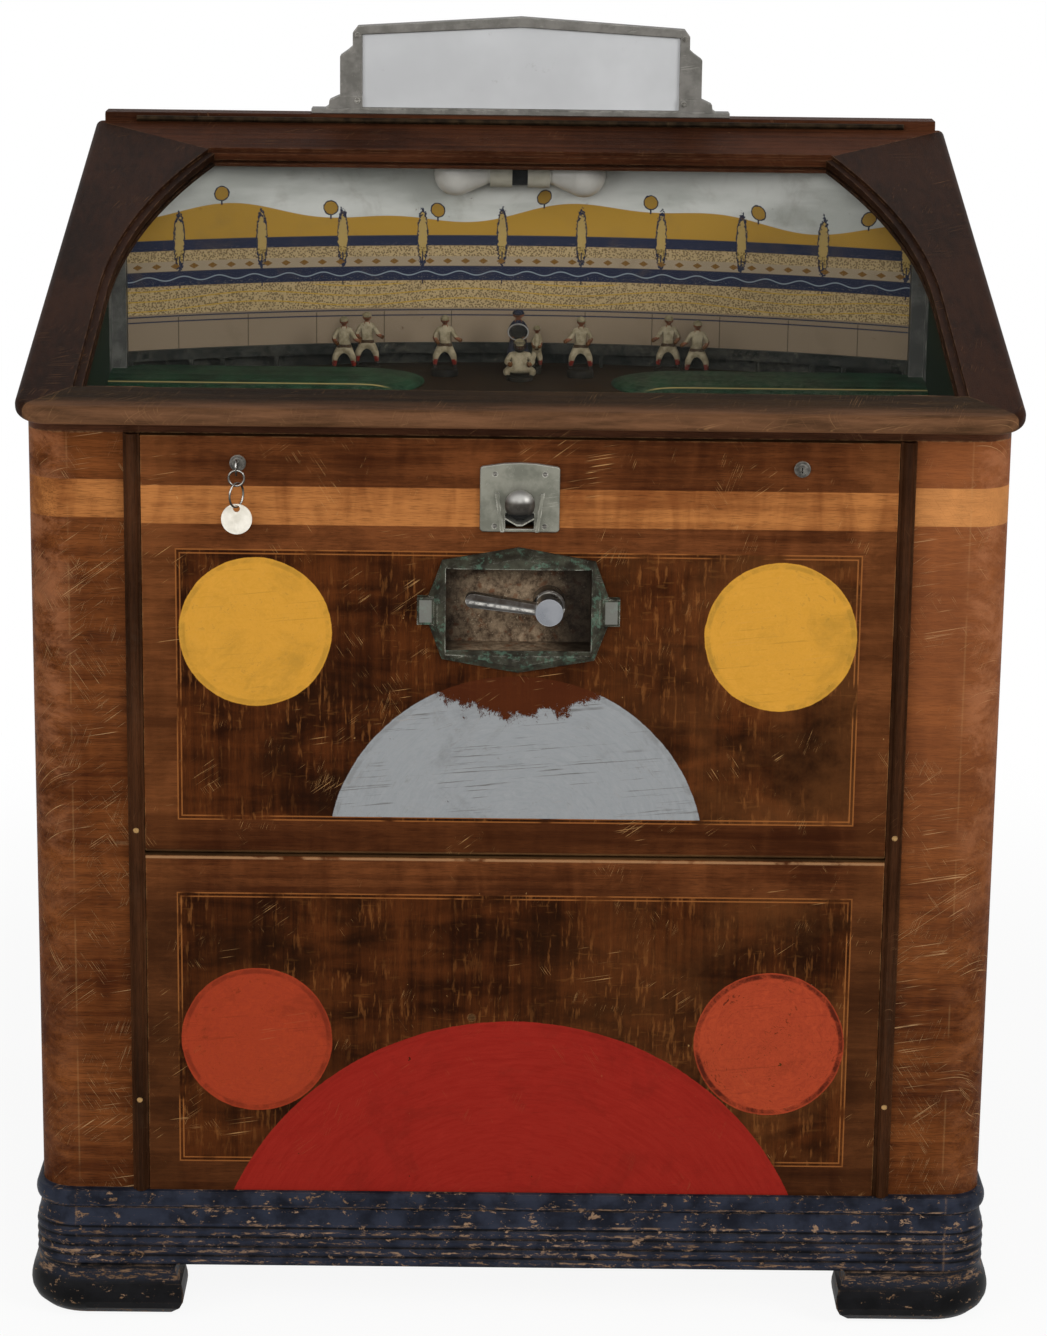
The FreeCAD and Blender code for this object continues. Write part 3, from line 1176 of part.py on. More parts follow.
def runner_disc():
    """Turning disc let into the field, its shaft and the gear below it."""
    disc = rod(RUNNER_R, (0, 0, -RUNNER_THICK), (0, 0, 0))
    shaft = rod(RUNNER_SHAFT_R, (0, 0, -BRIDGE_DROP + BRIDGE_BAR + FREE), (0, 0, -RUNNER_THICK + 1.0))
    gear = prism_xy(gear_points(RUNNER_TEETH, GEAR_MODULE, 90.0), -GEAR_DROP - GEAR_THICK, -GEAR_DROP)
    return to_field(joined([disc, shaft, gear]))


def motor_pinion():
    step = 360.0 / MOTOR_TEETH
    points = [(x, y + MOTOR_ARM) for x, y in gear_points(MOTOR_TEETH, GEAR_MODULE, -90.0 + step / 2.0)]
    pinion = prism_xy(points, -GEAR_DROP - GEAR_THICK, -GEAR_DROP)
    shaft = rod(MOTOR_SHAFT_R, (0, MOTOR_ARM, -BRIDGE_DROP - 12.0), (0, MOTOR_ARM, -GEAR_DROP + 4.0))
    return to_field(joined([pinion, shaft]))


def runner_bridge():
    """Bridge under the field that carries the disc's shaft and the gear motor."""
    y0 = -RUNNER_R - BRIDGE_HALF
    y1 = MOTOR_ARM + GEARBOX_HALF + BRIDGE_HALF
    low = -BRIDGE_DROP
    bar = box(-BRIDGE_HALF, BRIDGE_HALF, y0, y1, low, low + BRIDGE_BAR)
    front_post = box(-BRIDGE_HALF, BRIDGE_HALF, y0, y0 + BRIDGE_POST, low, -FIELD_THICK)
    rear_post = box(-BRIDGE_HALF, BRIDGE_HALF, y1 - BRIDGE_POST, y1, low, -FIELD_THICK)
    cup = rod(RUNNER_SHAFT_R + 6.0, (0, 0, low + 1.0), (0, 0, low + BRIDGE_BAR + CUP_HEIGHT))
    bridge = joined([bar, front_post, rear_post, cup])
    bridge = bridge.cut(rod(RUNNER_SHAFT_R + FIT, (0, 0, low + BRIDGE_BAR), (0, 0, -FIELD_THICK)))
    return to_field(bridge.cut(rod(MOTOR_SHAFT_R + FREE, (0, MOTOR_ARM, low - 1.0), (0, MOTOR_ARM, -FIELD_THICK))))


def drive_motor():
    """Gear motor under the bridge."""
    top = -BRIDGE_DROP
    gearbox = box(-GEARBOX_HALF, GEARBOX_HALF, MOTOR_ARM - GEARBOX_HALF, MOTOR_ARM + GEARBOX_HALF,
                  top - GEARBOX_HEIGHT, top)
    can = rod(MOTOR_CAN_R, (0, MOTOR_ARM, top - GEARBOX_HEIGHT - MOTOR_CAN_LENGTH), (0, MOTOR_ARM, top - 1.0))
    socket = rod(MOTOR_SHAFT_R + FIT, (0, MOTOR_ARM, top - 13.0), (0, MOTOR_ARM, top + 1.0))
    return to_field(joined([gearbox, can]).cut(socket))


def field_aprons():
    """Green humps across the outfield, each with an upright back and a domed inner end."""
    profile = [(0.0, 0.0), (0.0, APRON_RISE)]
    steps = 6
    for step in range(1, steps + 1):
        a = math.radians(90.0 * step / steps)
        profile.append((APRON_DEPTH * math.sin(a), APRON_KERB + (APRON_RISE - APRON_KERB) * math.cos(a)))
    profile.append((APRON_DEPTH, 0.0))
    cx = APRON_TIP_X + APRON_DEPTH
    length = face_of([(cx, APRON_REAR_Y - n, z) for n, z in profile]).extrude(V(FIELD_HALF - cx, 0, 0))
    end = face_of([(cx, APRON_REAR_Y - n, z) for n, z in profile]).revolve(V(cx, APRON_REAR_Y, 0), V(0, 0, 1), -90)
    apron = to_field(joined([length, end]))
    centre_y = BACKDROP_Y - BACKDROP_R
    reach = BACKDROP_R - BACKDROP_THICK - RIM_THICK - SEAT
    return both_sides(apron.common(rod(reach, (0.0, centre_y, FIELD_REAR_Z - APRON_DEPTH), (0.0, centre_y, RIM_TOP))))


# Backdrop and the rim at its foot
def arc_y(radius, x):
    """Depth of an arc of the given radius, struck from the backdrop's centre, at x."""
    return BACKDROP_Y - BACKDROP_R + math.sqrt(radius ** 2 - x ** 2)


def arc_band(r_out, thick, half, z0, z1):
    """Upright sheet bent to the backdrop's curve."""
    r_in = r_out - thick
    wire = Part.Wire([
        Part.Arc(V(-half, arc_y(r_out, half), z0), V(0, arc_y(r_out, 0), z0), V(half, arc_y(r_out, half), z0)).toShape(),
        Part.makeLine(V(half, arc_y(r_out, half), z0), V(half, arc_y(r_in, half), z0)),
        Part.Arc(V(half, arc_y(r_in, half), z0), V(0, arc_y(r_in, 0), z0), V(-half, arc_y(r_in, half), z0)).toShape(),
        Part.makeLine(V(-half, arc_y(r_in, half), z0), V(-half, arc_y(r_out, half), z0)),
    ])
    return Part.Face(wire).extrude(V(0, 0, z1 - z0))


def backdrop():
    return arc_band(BACKDROP_R, BACKDROP_THICK, BACKDROP_HALF, BACKDROP_FOOT, BACKDROP_HEAD)


def pocket_xs():
    edges = sorted([-x for x in DIVIDERS] + DIVIDERS)
    return [-BACKDROP_HALF + DIVIDER_HALF] + edges + [BACKDROP_HALF - DIVIDER_HALF]


def field_rim():
    """Rim before the backdrop's foot, the wall behind the ball pockets and their dividers."""
    low = FIELD_REAR_Z - 30.0
    r_front = BACKDROP_R - BACKDROP_THICK
    r_wall = BACKDROP_R + POCKET_DEPTH
    front = arc_band(r_front, RIM_THICK, BACKDROP_HALF, low, RIM_TOP)
    xs = pocket_xs()
    for left, right in zip(xs[:-1], xs[1:]):
        arch = box(left + DIVIDER_HALF, right - DIVIDER_HALF, 0.0, Y_BACK, low - 1.0, POCKET_TOP)
        arch = softened(arch, POCKET_ROUND, lambda b: b.YLength > 100.0 and b.ZMin > POCKET_TOP - 0.1)
        front = front.cut(arch)
    wall = arc_band(r_wall, BACKDROP_THICK, BACKDROP_HALF, low, POCKET_TOP)
    pieces = [front, wall]
    ring = arc_band(r_wall - 1.0, r_wall - r_front + RIM_THICK - 2.0, BACKDROP_HALF, low, POCKET_TOP)
    for x in xs:
        pieces.append(box(x - DIVIDER_HALF, x + DIVIDER_HALF, 0.0, Y_BACK, low, POCKET_TOP).common(ring))
    return on_field(joined(pieces))


def backdrop_posts():
    """Steel angles that close the gap between the backdrop's ends and the side boards."""
    y = arc_y(BACKDROP_R - BACKDROP_THICK, BACKDROP_HALF)
    y0 = y - POST_AHEAD
    x0 = BACKDROP_HALF + SEAT
    face = box(x0, SIDE_IN, y0, y0 + POST_SHEET, 0.0, POST_HEAD)
    flange = box(SIDE_IN - POST_SHEET, SIDE_IN, y0 - POST_FLANGE, y0 + POST_SHEET, 0.0, POST_HEAD)
    cheek = box(x0, x0 + POST_SHEET, y0, y + 6.0, 0.0, POST_HEAD)
    post = on_field(joined([face, flange, cheek]))
    return both_sides(post.cut(field_aprons()[1]))


# Figures on the field, each as (x, distance before the backdrop's middle, scale, side of the outstretched arm)
FIELDERS = (
    (-213.0, 77.0, 1.0, 1), (-186.0, 49.0, 1.0, 1), (-90.0, 63.0, 1.0, 1),
    (77.0, 63.0, 1.0, -1), (185.0, 49.0, 1.0, -1), (219.0, 77.0, 1.0, -1),
)
STRIKER = (23.0, 47.0, 0.8)
UMPIRE = (0.0, 45.0, 1.06)
CATCHER = (2.0, 86.0)
FIGURE_HEIGHT = 77.0
CATCHER_HEIGHT = 50.0
RUNNER_HEIGHT = 33.0


def limb(r0, r1, start, end):
    """Tapered limb with a round joint at its far end."""
    return [cone(r0, r1, start, end), ball(r1, *end)]


def standing_figure(x, before, scale, spread, arm_side):
    """Player on a domed base, knees apart and leaning forward, one forearm held out, with a cap."""
    y = BACKDROP_Y - before
    z = field_z(y)
    h = FIGURE_HEIGHT * scale

    def at(side, forward, up):
        """A point given in shares of the figure's height, its side place closed up by the spread."""
        return (x + side * spread * h, y - forward * h, z + up * h)

    base = 0.10 + 0.12 * (spread - 0.5) / 0.5
    parts = [
        cone(base * h, base * 0.75 * h, at(0, 0, -0.015), at(0, 0, 0.13)),
        cone(0.105 * h, 0.120 * h, at(0, 0, 0.44), at(0, 0.03, 0.73)),
        cone(0.116 * h, 0.040 * h, at(0, 0.025, 0.71), at(0, 0.045, 0.82)),
        ball(0.072 * h, *at(0, 0.055, 0.875)),
        cone(0.076 * h, 0.045 * h, at(0, 0.055, 0.90), at(0, 0.05, 0.97)),
    ]
    for side in (-1, 1):
        knee = at(side * 0.14, 0.09, 0.31)
        parts += limb(0.045 * h, 0.058 * h, at(side * 0.16, 0.02, 0.11), knee)
        parts.append(cone(0.058 * h, 0.080 * h, knee, at(side * 0.05, 0, 0.46)))
        elbow = at(side * 0.17, 0.07, 0.60)
        hand = at(side * 0.10, 0.13, 0.54)
        if side == arm_side:
            hand = at(side * 0.27, 0.12, 0.57)
        parts += limb(0.050 * h, 0.044 * h, at(side * 0.10, 0.03, 0.74), elbow)
        parts += limb(0.040 * h, 0.042 * h, elbow, hand)
    return on_field(joined(parts))


def umpire_figure():
    """The standing figure with a round shield before its chest."""
    x, before, scale = UMPIRE
    y = BACKDROP_Y - before
    h = FIGURE_HEIGHT * scale
    z = field_z(y) + 0.64 * h
    shield = rod(0.135 * h, (x, y - 0.17 * h, z), (x, y - 0.05 * h, z))
    hollow = rod(0.115 * h, (x, y - 0.18 * h, z), (x, y - 0.14 * h, z))
    return joined([standing_figure(x, before, scale, 0.6, 0), shield]).cut(hollow)


def crouching_figure(x, before):
    """Crouching player with wide knees, behind whose mask no face shows."""
    y = BACKDROP_Y - before
    z = field_z(y)
    h = CATCHER_HEIGHT

    def at(side, forward, up):
        """A point given in shares of the crouching height."""
        return (x + side * h, y - forward * h, z + up * h)

    parts = [
        rod(0.34 * h, at(0, 0, -0.025), at(0, 0, 0.10)),
        cone(0.27 * h, 0.22 * h, at(0, 0, 0.08), at(0, 0.025, 0.68)),
        cone(0.215 * h, 0.09 * h, at(0, 0.02, 0.66), at(0, 0.04, 0.76)),
        ball(0.145 * h, *at(0, 0.05, 0.85)),
    ]
    for side in (-1, 1):
        knee = at(side * 0.36, 0.20, 0.24)
        parts += limb(0.11 * h, 0.10 * h, at(side * 0.27, 0.15, 0.06), knee)
        parts.append(rod(0.10 * h, knee, at(side * 0.08, -0.025, 0.24)))
        parts += limb(0.09 * h, 0.075 * h, at(side * 0.22, 0.025, 0.60), at(side * 0.34, 0.16, 0.42))
    return on_field(joined(parts))


def base_runners():
    """Small running figures that stand on the turning disc."""
    runners = []
    h = RUNNER_HEIGHT
    for index in range(RUNNER_COUNT):
        a = math.radians(45.0 + 360.0 * index / RUNNER_COUNT)
        x = RUNNER_RING * math.cos(a)
        y = RUNNER_RING * math.sin(a)
        parts = [
            rod(0.21 * h, (x, y, 0.0), (x, y, 0.075 * h)),
            cone(0.12 * h, 0.145 * h, (x, y, 0.42 * h), (x, y, 0.79 * h)),
            ball(0.115 * h, x, y, 0.88 * h),
        ]
        for side in (-1, 1):
            parts.append(cone(0.065 * h, 0.097 * h, (x + side * 0.11 * h, y + side * 0.06 * h, 0.06 * h),
                              (x + side * 0.05 * h, y, 0.48 * h)))
            parts.append(rod(0.058 * h, (x + side * 0.115 * h, y, 0.76 * h),
                             (x + side * 0.17 * h, y - side * 0.09 * h, 0.52 * h)))
        runners.append(to_field(joined(parts)))
    return runners


# Lamps
def lamp_bracket():
    """Dark block between the sockets, hung from a strap over the backdrop's head."""
    block = box(-LAMP_BLOCK_HALF, LAMP_BLOCK_HALF, LAMP_Y - LAMP_BLOCK_RISE, LAMP_Y + LAMP_BLOCK_RISE,
                LAMP_Z - LAMP_BLOCK_RISE, LAMP_Z + LAMP_BLOCK_RISE)
    strap_z = BACKDROP_HEAD + 2.0
    y_rise = LAMP_Y + LAMP_BLOCK_RISE
    rise = box(-LAMP_BLOCK_HALF, LAMP_BLOCK_HALF, y_rise - LAMP_STRAP, y_rise, LAMP_Z, strap_z + LAMP_STRAP)
    strap = box(-LAMP_BLOCK_HALF, LAMP_BLOCK_HALF, y_rise - LAMP_STRAP, Y_BACK_IN, strap_z, strap_z + LAMP_STRAP)
    return joined([block, rise, strap])


def lamp_sockets():
    x1 = LAMP_BLOCK_HALF + SOCKET_LENGTH
    shell = rod(SOCKET_R, (LAMP_BLOCK_HALF, LAMP_Y, LAMP_Z), (x1, LAMP_Y, LAMP_Z))
    bore = rod(SOCKET_BORE_R, (LAMP_BLOCK_HALF + 6.0, LAMP_Y, LAMP_Z), (x1 + 1.0, LAMP_Y, LAMP_Z))
    return both_sides(shell.cut(bore))


def light_bulbs():
    lip = LAMP_BLOCK_HALF + SOCKET_LENGTH
    cap = rod(BULB_CAP_R, (LAMP_BLOCK_HALF + 8.0, LAMP_Y, LAMP_Z), (lip + 1.5, LAMP_Y, LAMP_Z))
    neck = cone(BULB_CAP_R, BULB_R * 0.86, (lip + 1.0, LAMP_Y, LAMP_Z), (BULB_X - BULB_R * 0.5, LAMP_Y, LAMP_Z))
    return both_sides(joined([cap, neck, ball(BULB_R, BULB_X, LAMP_Y, LAMP_Z)]))


# Sign
def sign_outline(inset, z_foot):
    """Right and left sides of the sign's body, stepped in towards a low peak."""
    body = SIGN_BODY_HALF - inset
    neck = SIGN_NECK_HALF - inset
    head = SIGN_HEAD_HALF - inset
    shoulder = SIGN_SHOULDER - inset
    right = [(body, z_foot), (body, SIGN_NECK_Z), (neck, SIGN_NECK_Z + 7.0), (head, SIGN_NECK_Z + 12.0),
             (head, shoulder - 8.0), (head - 6.0, shoulder), (0.0, SIGN_PEAK - inset)]
    return right + [(-x, z) for x, z in right[:-1]][::-1]


def sign_window(grow):
    half = SIGN_HEAD_HALF - SIGN_BORDER + grow
    low = TOP_BOARD_TOP + 8.0 - grow
    shoulder = SIGN_SHOULDER - SIGN_BORDER + 2.0 + grow
    peak = SIGN_PEAK - SIGN_BORDER + grow
    return [(-half, low), (half, low), (half, shoulder), (0.0, peak), (-half, shoulder)]


def sign_frame():
    """Cast frame on a stepped foot, open at the front for the glass and hollow behind it."""
    y0 = Y_BACK - SIGN_DEPTH
    z0 = TOP_BOARD_TOP
    y_body = y0 + SIGN_FACE_SET
    foot = box(-SIGN_BASE_HALF, SIGN_BASE_HALF, y0, Y_BACK, z0, z0 + 6.0)
    right = [(SIGN_STEP_HALF + 6.0, z0 + 5.0), (SIGN_STEP_HALF, z0 + 9.0), (SIGN_STEP_HALF - 1.0, z0 + 16.0),
             (SIGN_BODY_HALF, z0 + 22.0)]
    step = prism_xz(right + [(-x, z) for x, z in right][::-1], y0 + SIGN_STEP_SET, Y_BACK)
    body = prism_xz(sign_outline(0.0, z0 + 4.0), y_body, Y_BACK)
    frame = joined([foot, step, body])
    hollow = prism_xz(sign_outline(SIGN_WALL, z0 + 6.0), y_body + SIGN_WALL, Y_BACK - 2.0)
    return frame.cut(hollow).cut(prism_xz(sign_window(0.0), y0 - 1.0, y_body + SIGN_WALL + 1.0))


def sign_glass():
    y0 = Y_BACK - SIGN_DEPTH + SIGN_FACE_SET + SIGN_WALL
    inside = prism_xz(sign_outline(SIGN_WALL + 0.4, TOP_BOARD_TOP + 6.4), y0, y0 + SIGN_GLASS_THICK)
    return prism_xz(sign_window(SIGN_GLASS_LAP), y0, y0 + SIGN_GLASS_THICK).common(inside)


def sign_screws():
    shapes = []
    reach = SIGN_SCREW_R * 1.25
    for rise, setback in SIGN_SCREW_SEATS:
        y = Y_BACK - SIGN_DEPTH + setback
        z = TOP_BOARD_TOP + rise
        head = rod(SIGN_SCREW_R, (SIGN_SCREW_X, y - SIGN_SCREW_HEAD, z), (SIGN_SCREW_X, y, z))
        slot = box(SIGN_SCREW_X - reach, SIGN_SCREW_X + reach, y - SIGN_SCREW_HEAD * 1.5, y - SIGN_SCREW_HEAD * 0.6,
                   z - SIGN_SCREW_SLOT, z + SIGN_SCREW_SLOT)
        shapes.extend(both_sides(head.cut(slot)))
    return shapes


# Pieces on the bottom board
def cash_box():
    """Open sheet-metal box under the coin chute."""
    x0 = CHUTE_X - CASH_WIDTH / 2.0
    y0 = Y_DOOR_IN + CASH_FRONT_GAP
    z0 = FLOOR_TOP
    t = CASH_SHEET
    outer = box(x0, x0 + CASH_WIDTH, y0, y0 + CASH_DEPTH, z0, z0 + CASH_HEIGHT)
    return outer.cut(box(x0 + t, x0 + CASH_WIDTH - t, y0 + t, y0 + CASH_DEPTH - t, z0 + t, z0 + CASH_HEIGHT + 1.0))


def transformer():
    """Mains transformer for the lamps and the motor: core, coil and foot plate."""
    core = box(CORE_X - CORE_WIDTH / 2.0, CORE_X + CORE_WIDTH / 2.0, CORE_Y - CORE_DEPTH / 2.0,
               CORE_Y + CORE_DEPTH / 2.0, FLOOR_TOP, FLOOR_TOP + CORE_HEIGHT)
    coil = box(CORE_X - CORE_WIDTH / 3.0, CORE_X + CORE_WIDTH / 3.0, CORE_Y - CORE_DEPTH / 2.0 - COIL_OUT,
               CORE_Y + CORE_DEPTH / 2.0 + COIL_OUT, FLOOR_TOP + COIL_OUT, FLOOR_TOP + CORE_HEIGHT - COIL_OUT)
    plate = box(CORE_X - CORE_WIDTH * 0.6, CORE_X + CORE_WIDTH * 0.6, CORE_Y - CORE_DEPTH * 0.4,
                CORE_Y + CORE_DEPTH * 0.4, FLOOR_TOP, FLOOR_TOP + 3.0)
    return joined([core, coil, plate])


right_pillar = pillar()
right_side = side_panel()
save("left_pillar", mirrored(right_pillar))
save("right_pillar", right_pillar)
save("left_side_panel", mirrored(right_side))
save("right_side_panel", right_side)
save("front_header_rail", *header_rail())
save("plinth_moulding", *plinth())
save("bracket_feet", *feet())
save("trim_strips", *both_sides(trim()))
save("trim_plugs", *trim_plugs())
save("back_panel", back_panel())
save("back_door", back_door())
save("back_door_pins", *back_door_pins())
save("bottom_board", bottom_board())
save("lower_front_panel", lower_panel())
save("top_board", top_board())
save("cash_box", cash_box())
save("power_transformer", transformer())

save("front_door", front_door())
save("door_pivots", *door_pivots())
save("lever_housing", lever_casting())
save("lever_arm", lever_arm())
save("lever_crank", lever_crank())
save("bat_rack", bat_rack())
save("rack_guides", *rack_guides())
save("bat", bat())
save("coin_plate", coin_plate())
save("coin_plate_screws", *coin_screws())
save("coin_cradle", coin_cradle())
save("thumb_piece", thumb_piece())
save("coin_chute", coin_chute())
save("lock_housings", *lock_housings())
save("left_lock_plug", lock_plug(-1))
save("right_lock_plug", lock_plug(1))
save("door_key", door_key())
save("key_rings", *key_rings())
save("key_tag", key_tag())

front_rail, rear_rail, left_stile, right_stile = hood_pieces()
save("hood_front_rail", front_rail)
save("hood_rear_rail", rear_rail)
save("hood_left_stile", left_stile)
save("hood_right_stile", right_stile)
save("hood_glass", hood_glass())
save("hood_hinge", hood_hinge())
save("hood_hinge_leaf", hood_hinge_leaf())

save("playfield_board", playfield())
save("runner_disc", runner_disc())
save("base_runners", *base_runners())
save("motor_pinion", motor_pinion())
save("runner_bridge", runner_bridge())
save("drive_motor", drive_motor())
save("backdrop_panel", backdrop())
save("field_rim", field_rim())
save("field_aprons", *field_aprons())
save("backdrop_posts", *backdrop_posts())
fielders = [standing_figure(x, before, scale, 1.0, arm) for x, before, scale, arm in FIELDERS]
save("player_figures", *fielders, standing_figure(*STRIKER, 0.5, 0), umpire_figure(), crouching_figure(*CATCHER))
save("lamp_bracket", lamp_bracket())
save("lamp_sockets", *lamp_sockets())
save("light_bulbs", *light_bulbs())
save("sign_frame", sign_frame())
save("sign_glass", sign_glass())
save("sign_screws", *sign_screws())
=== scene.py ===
# %% [markdown]
# # A coin-operated pin game
# A wooden cabinet on bracket feet, with a drop-front door, a sloping glazed hood over a small playing field, and a low
# cast sign on its back edge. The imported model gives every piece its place. This lesson gives the pieces their finishes,
# and models the small painted figures by hand.

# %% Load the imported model
import math
import bpy
from mathutils import Matrix, Vector


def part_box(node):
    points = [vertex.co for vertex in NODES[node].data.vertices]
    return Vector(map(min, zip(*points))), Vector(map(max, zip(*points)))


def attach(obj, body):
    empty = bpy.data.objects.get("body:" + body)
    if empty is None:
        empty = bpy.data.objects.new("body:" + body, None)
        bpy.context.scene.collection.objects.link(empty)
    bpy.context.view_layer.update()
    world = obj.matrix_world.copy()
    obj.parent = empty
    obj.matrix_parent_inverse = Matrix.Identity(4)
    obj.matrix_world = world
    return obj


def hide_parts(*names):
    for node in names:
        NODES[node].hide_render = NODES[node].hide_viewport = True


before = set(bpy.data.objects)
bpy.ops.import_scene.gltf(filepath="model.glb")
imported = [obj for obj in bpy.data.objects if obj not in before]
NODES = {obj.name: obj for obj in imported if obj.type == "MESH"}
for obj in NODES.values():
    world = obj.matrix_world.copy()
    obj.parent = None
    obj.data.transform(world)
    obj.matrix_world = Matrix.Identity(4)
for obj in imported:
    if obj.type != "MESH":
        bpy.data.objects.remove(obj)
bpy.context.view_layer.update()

print("pieces loaded:", len(NODES))

# %% [markdown]
# ## The camera
# The photograph was taken from a little above and far away with a long lens. A camera was fitted to the cabinet's
# edges, and its place, tilt and lens are written here. Nothing is shifted, so the other views stay true.

# %% Place the camera
LENS = 98.17
SENSOR = 36.0
CAMERA_PLACE = (-0.0229, -4.0996, 1.6788)
PITCH = math.radians(14.2286)
YAW = math.radians(0.4474)
ROLL = math.radians(0.7379)

camera = bpy.data.objects.new("camera", bpy.data.cameras.new("camera"))
bpy.context.scene.collection.objects.link(camera)
camera.data.sensor_fit = "VERTICAL"
camera.data.sensor_height = SENSOR
camera.data.lens = LENS
aim = Matrix.Rotation(-YAW, 4, "Z") @ Matrix.Rotation(math.pi / 2 - PITCH, 4, "X") @ Matrix.Rotation(ROLL, 4, "Z")
camera.matrix_world = Matrix.Translation(CAMERA_PLACE) @ aim
bpy.context.scene.camera = camera
bpy.context.scene.view_settings.view_transform = "Standard"
print("camera at", CAMERA_PLACE)

# %% [markdown]
# ## Arithmetic with nodes
# A finish is a small tree of nodes. Written out in full, each sum needs a Math node and two links, which hides the
# idea. So what a node puts out is wrapped in a small class, and each + - * / between two of them adds its Math node.
# Colours are written as they look, and turned into the linear values that a shader works in.

# %% Colours, and values that can be reckoned with
def paint(code):
    """A colour written as on a swatch, turned into the linear values a shader wants."""
    parts = [int(code[i:i + 2], 16) / 255.0 for i in (1, 3, 5)]
    linear = [p / 12.92 if p <= 0.04045 else ((p + 0.055) / 1.055) ** 2.4 for p in parts]
    return (*linear, 1.0)


class Value:
    """What a node puts out. Each sum with it adds a Math node to its tree."""

    def __init__(self, t, socket):
        self.t = t
        self.socket = socket

    def __add__(self, other):
        return self.t.math("ADD", self, other)

    def __sub__(self, other):
        return self.t.math("SUBTRACT", self, other)

    def __rsub__(self, other):
        return self.t.math("SUBTRACT", other, self)

    def __mul__(self, other):
        return self.t.math("MULTIPLY", self, other)

    def __truediv__(self, other):
        return self.t.math("DIVIDE", self, other)

    def __abs__(self):
        return self.t.math("ABSOLUTE", self)

    __radd__ = __add__
    __rmul__ = __mul__


# %% [markdown]
# The tree itself gets short calls: one adds any node with its settings and inputs in a line, and one places a group.

# %% A tree that adds nodes
class Tree:
    """One material's or group's node tree."""

    def __init__(self, tree):
        self.tree = tree

    def feed(self, socket, value):
        """Link a node's value to a socket, or set the socket to a plain number or colour."""
        if isinstance(value, Value):
            self.tree.links.new(value.socket, socket)
        else:
            socket.default_value = value

    def add(self, kind, feeds=None, out=0, **settings):
        """A node with its settings and inputs; it returns one of its outputs."""
        node = self.tree.nodes.new("ShaderNode" + kind)
        for name, value in settings.items():
            setattr(node, name, value)
        for name, value in (feeds or {}).items():
            self.feed(node.inputs[name], value)
        return Value(self, node.outputs[out]) if len(node.outputs) else None

    def group(self, name, **feeds):
        """A node group: its one output, or all of them where it has more."""
        node = self.tree.nodes.new("ShaderNodeGroup")
        node.node_tree = bpy.data.node_groups[name]
        for key, value in feeds.items():
            self.feed(node.inputs[key], value)
        outs = [Value(self, socket) for socket in node.outputs]
        return outs[0] if len(outs) == 1 else outs

    def math(self, operation, a, b=0.0):
        return self.add("Math", {0: a, 1: b}, operation=operation)


# %% [markdown]
# A fuller tree knows the few kinds of node that the finishes are made of: noise, soft steps, bands, distances and
# mixes of colours.

# %% A tree that knows the finishes' nodes
class FinishTree(Tree):
    """A tree with calls for masks, patterns and colours."""

    def most(self, first, *others):
        """The greatest of several masks."""
        for other in others:
            first = self.math("MAXIMUM", first, other)
        return first

    def step(self, value, low, high):
        """0 below low and 1 above high, with a soft run between."""
        feeds = {"Value": value, "From Min": low, "From Max": high}
        return self.add("MapRange", feeds, interpolation_type="SMOOTHSTEP")

    def band(self, value, low, high, soft=0.0006):
        """1 between low and high."""
        return self.step(value, low - soft, low + soft) - self.step(value, high - soft, high + soft)

    def spot(self):
        """The place on the object, whole and as its three parts."""
        place = self.add("TexCoord", out=3)
        return (place, *self.axes(place))

    def axes(self, vector):
        parts = self.tree.nodes.new("ShaderNodeSeparateXYZ")
        self.feed(parts.inputs[0], vector)
        return [Value(self, socket) for socket in parts.outputs]

    def stretch(self, vector, scale=(1.0, 1.0, 1.0), turn=(0.0, 0.0, 0.0)):
        return self.add("Mapping", {"Vector": vector, "Scale": scale, "Rotation": turn})

    def noise(self, vector, scale, detail=4.0, rough=0.55, bend=0.0):
        """Cloudy noise. Three scales instead of one stretch it."""
        if isinstance(scale, tuple):
            vector, scale = self.stretch(vector, scale), 1.0
        feeds = {"Vector": vector, "Scale": scale, "Detail": detail, "Roughness": rough, "Distortion": bend}
        return self.add("TexNoise", feeds)

    def distance(self, u, v, u0=0.0, v0=0.0):
        """Distance from a centre in a flat pattern."""
        du, dv = u - u0, v - v0
        return self.math("SQRT", du * du + dv * dv)

    def mix(self, share, a, b):
        return self.add("Mix", {0: share, 6: a, 7: b}, out=2, data_type="RGBA")

    def tint(self, colour, mask, code):
        """Lay a swatch over a colour, as thickly as the mask says."""
        return self.mix(mask, colour, paint(code))

    def tones(self, value, low, high, dark, light):
        """From one swatch to another as a value rises from low to high."""
        return self.mix(self.step(value, low, high), paint(dark), paint(light))


# %% [markdown]
# ## Effects that many finishes share
# Grain, scratches, rubbed edges and dust each become a node group, built once and placed in every material with its
# own values. The helper below makes an empty group with its named sockets.

# %% A helper for node groups
def node_group(name, takes, gives):
    """An empty group. What it takes is named with its first value, and what it gives with its kind of socket."""
    tree = bpy.data.node_groups.new(name, "ShaderNodeTree")
    for label, value in takes.items():
        kind = "Vector" if value is None else "Color" if isinstance(value, tuple) else "Float"
        socket = tree.interface.new_socket(label, in_out="INPUT", socket_type="NodeSocket" + kind)
        if value is not None:
            socket.default_value = value
    for label, kind in gives.items():
        tree.interface.new_socket(label, in_out="OUTPUT", socket_type="NodeSocket" + kind)
    t = FinishTree(tree)
    start = tree.nodes.new("NodeGroupInput")
    given = {label: Value(t, start.outputs[label]) for label in takes}
    return t, given, tree.nodes.new("NodeGroupOutput").inputs


